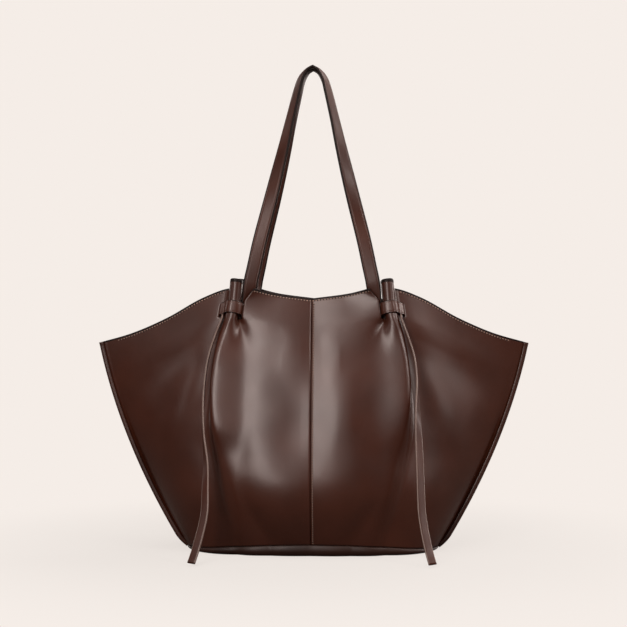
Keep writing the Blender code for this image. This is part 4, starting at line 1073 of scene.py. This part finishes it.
def tie_sections(spreads, twists):
    """The middle line drops from the keeper while its sideways spread and forward reach follow the shares above,
    and the strip's width turns about that line by the twist. The first few sections reach up into the slit."""
    drop = np.linspace(-TIE_TUCK, 1, 120)
    x, depth, z = TIE_ROOT
    spread = steady_through(TIE_DROPS, spreads, drop)
    reach = steady_through(TIE_DROPS, TIE_REACHES, drop) + TIE_TUCK_REACH * np.minimum(drop, 0)
    twist = np.radians(steady_through(TIE_DROPS, twists, drop))[:, None]
    centres = stacked(x + TIE_SPREAD * spread, depth + TIE_REACH * reach, z - (z - TIE_TIP_CLEARANCE) * drop)
    tangent = unit(np.gradient(centres, axis=0))
    facing = np.array((0, 1.0, 0)) * np.cos(twist) - np.array((1.0, 0, 0)) * np.sin(twist)
    across = unit(facing - (facing * tangent).sum(axis=1)[:, None] * tangent)
    through = np.cross(tangent, across)
    through *= np.sign(through[:, 0:1] + through[:, 1:2])
    width = TIE_WIDTH * (1 - TIE_TUCK_TAPER * clamped(-drop / TIE_TUCK))
    return strip_sections(centres, across, through, width, TIE_THICKNESS, TIE_CROWN)


TIE_LEATHER = leather_material("tie_leather", (0.040, 0.0105, 0.0052), 0.38, coat=0.05, shine=0.30)
RAW_EDGE = leather_material("burnished_edge", (0.122, 0.080, 0.065), 0.34, grain=0.00002, depth=0.2)

for corner, side, face in CORNERS:
    points, tie_painted = tie_sections(TIE_SPREADS[side], TIE_TWISTS[side])
    tie = strip_mesh(f"tie_{corner}_strip", placed(points, side, face), tie_painted,
                     (TIE_LEATHER, RAW_EDGE), flip=side * face > 0)
    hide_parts(f"tie_{corner}")
    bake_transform(tie)

# Floor, light and camera
# A plain pale floor before a plain pale background. One tall soft lamp in front, a little left, gives most of the
# light, a small one lights the straps, and the others fill in from the sides, behind and above. The camera stands
# level with the mouth, a little right of the middle.
PAPER = (0.913, 0.847, 0.800)
PAPER_LIGHT = 0.80
PAPER_GLOW = 0.12
FLOOR_GAINS = (0.46, 0.53, 0.56)
FLOOR_FADE = (0.20, 0.55)
FLOOR_REACH = 9
SKY_COLOUR = (1.0, 0.93, 0.88, 1.0)
SKY_STRENGTH = 0.12
LAMP_COLOUR = (1.0, 0.88, 0.83)
LAMPS_AIM = 0.2
LAMPS = (
    ("key", -18, 23, 2.3, 0.65, 1.8, 9.6),
    ("front", 5, 24, 2.3, 0.60, 1.9, 0.9),
    ("left", -57, 22, 2.4, 0.4, 1.4, 1.8),
    ("left_edge", -105, 18, 2.4, 0.5, 1.4, 2.0),
    ("right", 60, 22, 2.4, 1.0, 1.6, 1.8),
    ("strap", 48, 34, 2.4, 0.45, 0.40, 22.0),
    ("right_edge", 98, 18, 2.4, 0.5, 1.4, 9.0),
    ("back_left", -150, 10, 2.6, 0.9, 1.2, 3.0),
    ("back_right", 150, 10, 2.6, 0.9, 1.2, 5.0),
    ("top", 0, 80, 2.4, 1.8, 1.8, 3.6),
    ("back_top", 130, 45, 2.6, 1.4, 1.2, 5.0),
)
CAMERA_PLACE = (0.070, -2.0, 0.2986)
CAMERA_LENS = 1724 / 627 * 36
CAMERA_SHIFT = 0.5 / 627
HORIZON_DROP = 23.5 / 1724


def paper(name, own_light):
    """Pale paper. Near the bag it takes light and shadow besides its own light, and far off only the latter, so
    that floor and background meet without a line. To anything but the camera it is a dim plain colour."""
    material, tree, shader = new_material(name)
    where = add_node(tree, "TexCoord").outputs["Object"]
    away = add_node(tree, "VectorMath", {0: where}, operation="LENGTH").outputs["Value"]
    seen = add_node(tree, "LightPath").outputs["Is Camera Ray"]

    def fading(start, end):
        """A value that runs smoothly from start near the bag to end far off, as a link."""
        return add_node(tree, "MapRange", {
            "From Min": FLOOR_FADE[0], "From Max": FLOOR_FADE[1], "To Min": start, "To Max": end, "Value": away,
        }, interpolation_type="SMOOTHSTEP").outputs["Result"]

    lit = [part * (1 - own_light) * gain for part, gain in zip(PAPER, FLOOR_GAINS)]
    glow = [part * PAPER_GLOW for part in PAPER]
    strength = add_node(tree, "Math", {0: seen, 1: fading(own_light, 1.0)}, operation="MULTIPLY")
    shaded = add_node(tree, "Mix", {0: fading(1.0, 0.0), 6: (0.0, 0.0, 0.0, 1.0), 7: (*lit, 1.0)}, data_type="RGBA")
    tone = add_node(tree, "Mix", {0: seen, 6: (*glow, 1.0), 7: shaded.outputs[2]}, data_type="RGBA")
    fill(tree, shader, {
        "Roughness": 0.9, "Specular IOR Level": 0.0, "Emission Color": (*PAPER, 1.0),
        "Emission Strength": strength.outputs["Value"], "Base Color": tone.outputs[2]})
    return material


floor_points = [(x * FLOOR_REACH, y * FLOOR_REACH, 0) for x, y in ((-1, -1), (1, -1), (1, 1), (-1, 1))]
floor = new_mesh("floor", floor_points, np.array([[0, 1, 2, 3]]), (paper("floor_paper", PAPER_LIGHT),))

world = bpy.data.worlds.new("studio")
bpy.context.scene.world = world
world.use_nodes = True
tree = world.node_tree
sky = tree.nodes["Background"]
fill(tree, sky, {"Color": SKY_COLOUR, "Strength": SKY_STRENGTH})
direct = add_node(tree, "Background", {"Color": (*PAPER, 1.0)})
camera_ray = add_node(tree, "LightPath").outputs["Is Camera Ray"]
mixed = add_node(tree, "MixShader", {0: camera_ray, 1: sky.outputs[0], 2: direct.outputs[0]})
fill(tree, tree.nodes["World Output"], {"Surface": mixed.outputs[0]})

# Each lamp is a rectangle that faces the belly, placed by its angles round it: azimuth 0 is the front.
for name, azimuth, elevation, distance, width, height, radiance in LAMPS:
    a, e = math.radians(azimuth), math.radians(elevation)
    out = np.array((math.sin(a) * math.cos(e), -math.cos(a) * math.cos(e), math.sin(e)))
    data = bpy.data.lights.new(f"{name}_lamp", "AREA")
    data.shape, data.size, data.size_y = "RECTANGLE", width, height
    data.energy, data.color = radiance * math.pi * width * height, LAMP_COLOUR
    lamp = bpy.data.objects.new(f"{name}_lamp", data)
    lamp.location = out * distance + (0, 0, LAMPS_AIM)
    lamp.rotation_euler = (math.pi / 2 - e, 0, a)
    lamp.visible_camera = False
    bpy.context.scene.collection.objects.link(lamp)

data = bpy.data.cameras.new("camera")
camera = bpy.data.objects.new("camera", data)
data.sensor_width, data.lens, data.shift_x = 36, CAMERA_LENS, CAMERA_SHIFT
camera.location = CAMERA_PLACE
camera.rotation_euler = (math.pi / 2 - HORIZON_DROP, 0, math.atan2(CAMERA_PLACE[0], -CAMERA_PLACE[1]))
bpy.context.scene.collection.objects.link(camera)
bpy.context.scene.camera = camera
bpy.context.scene.view_settings.view_transform = "Standard"
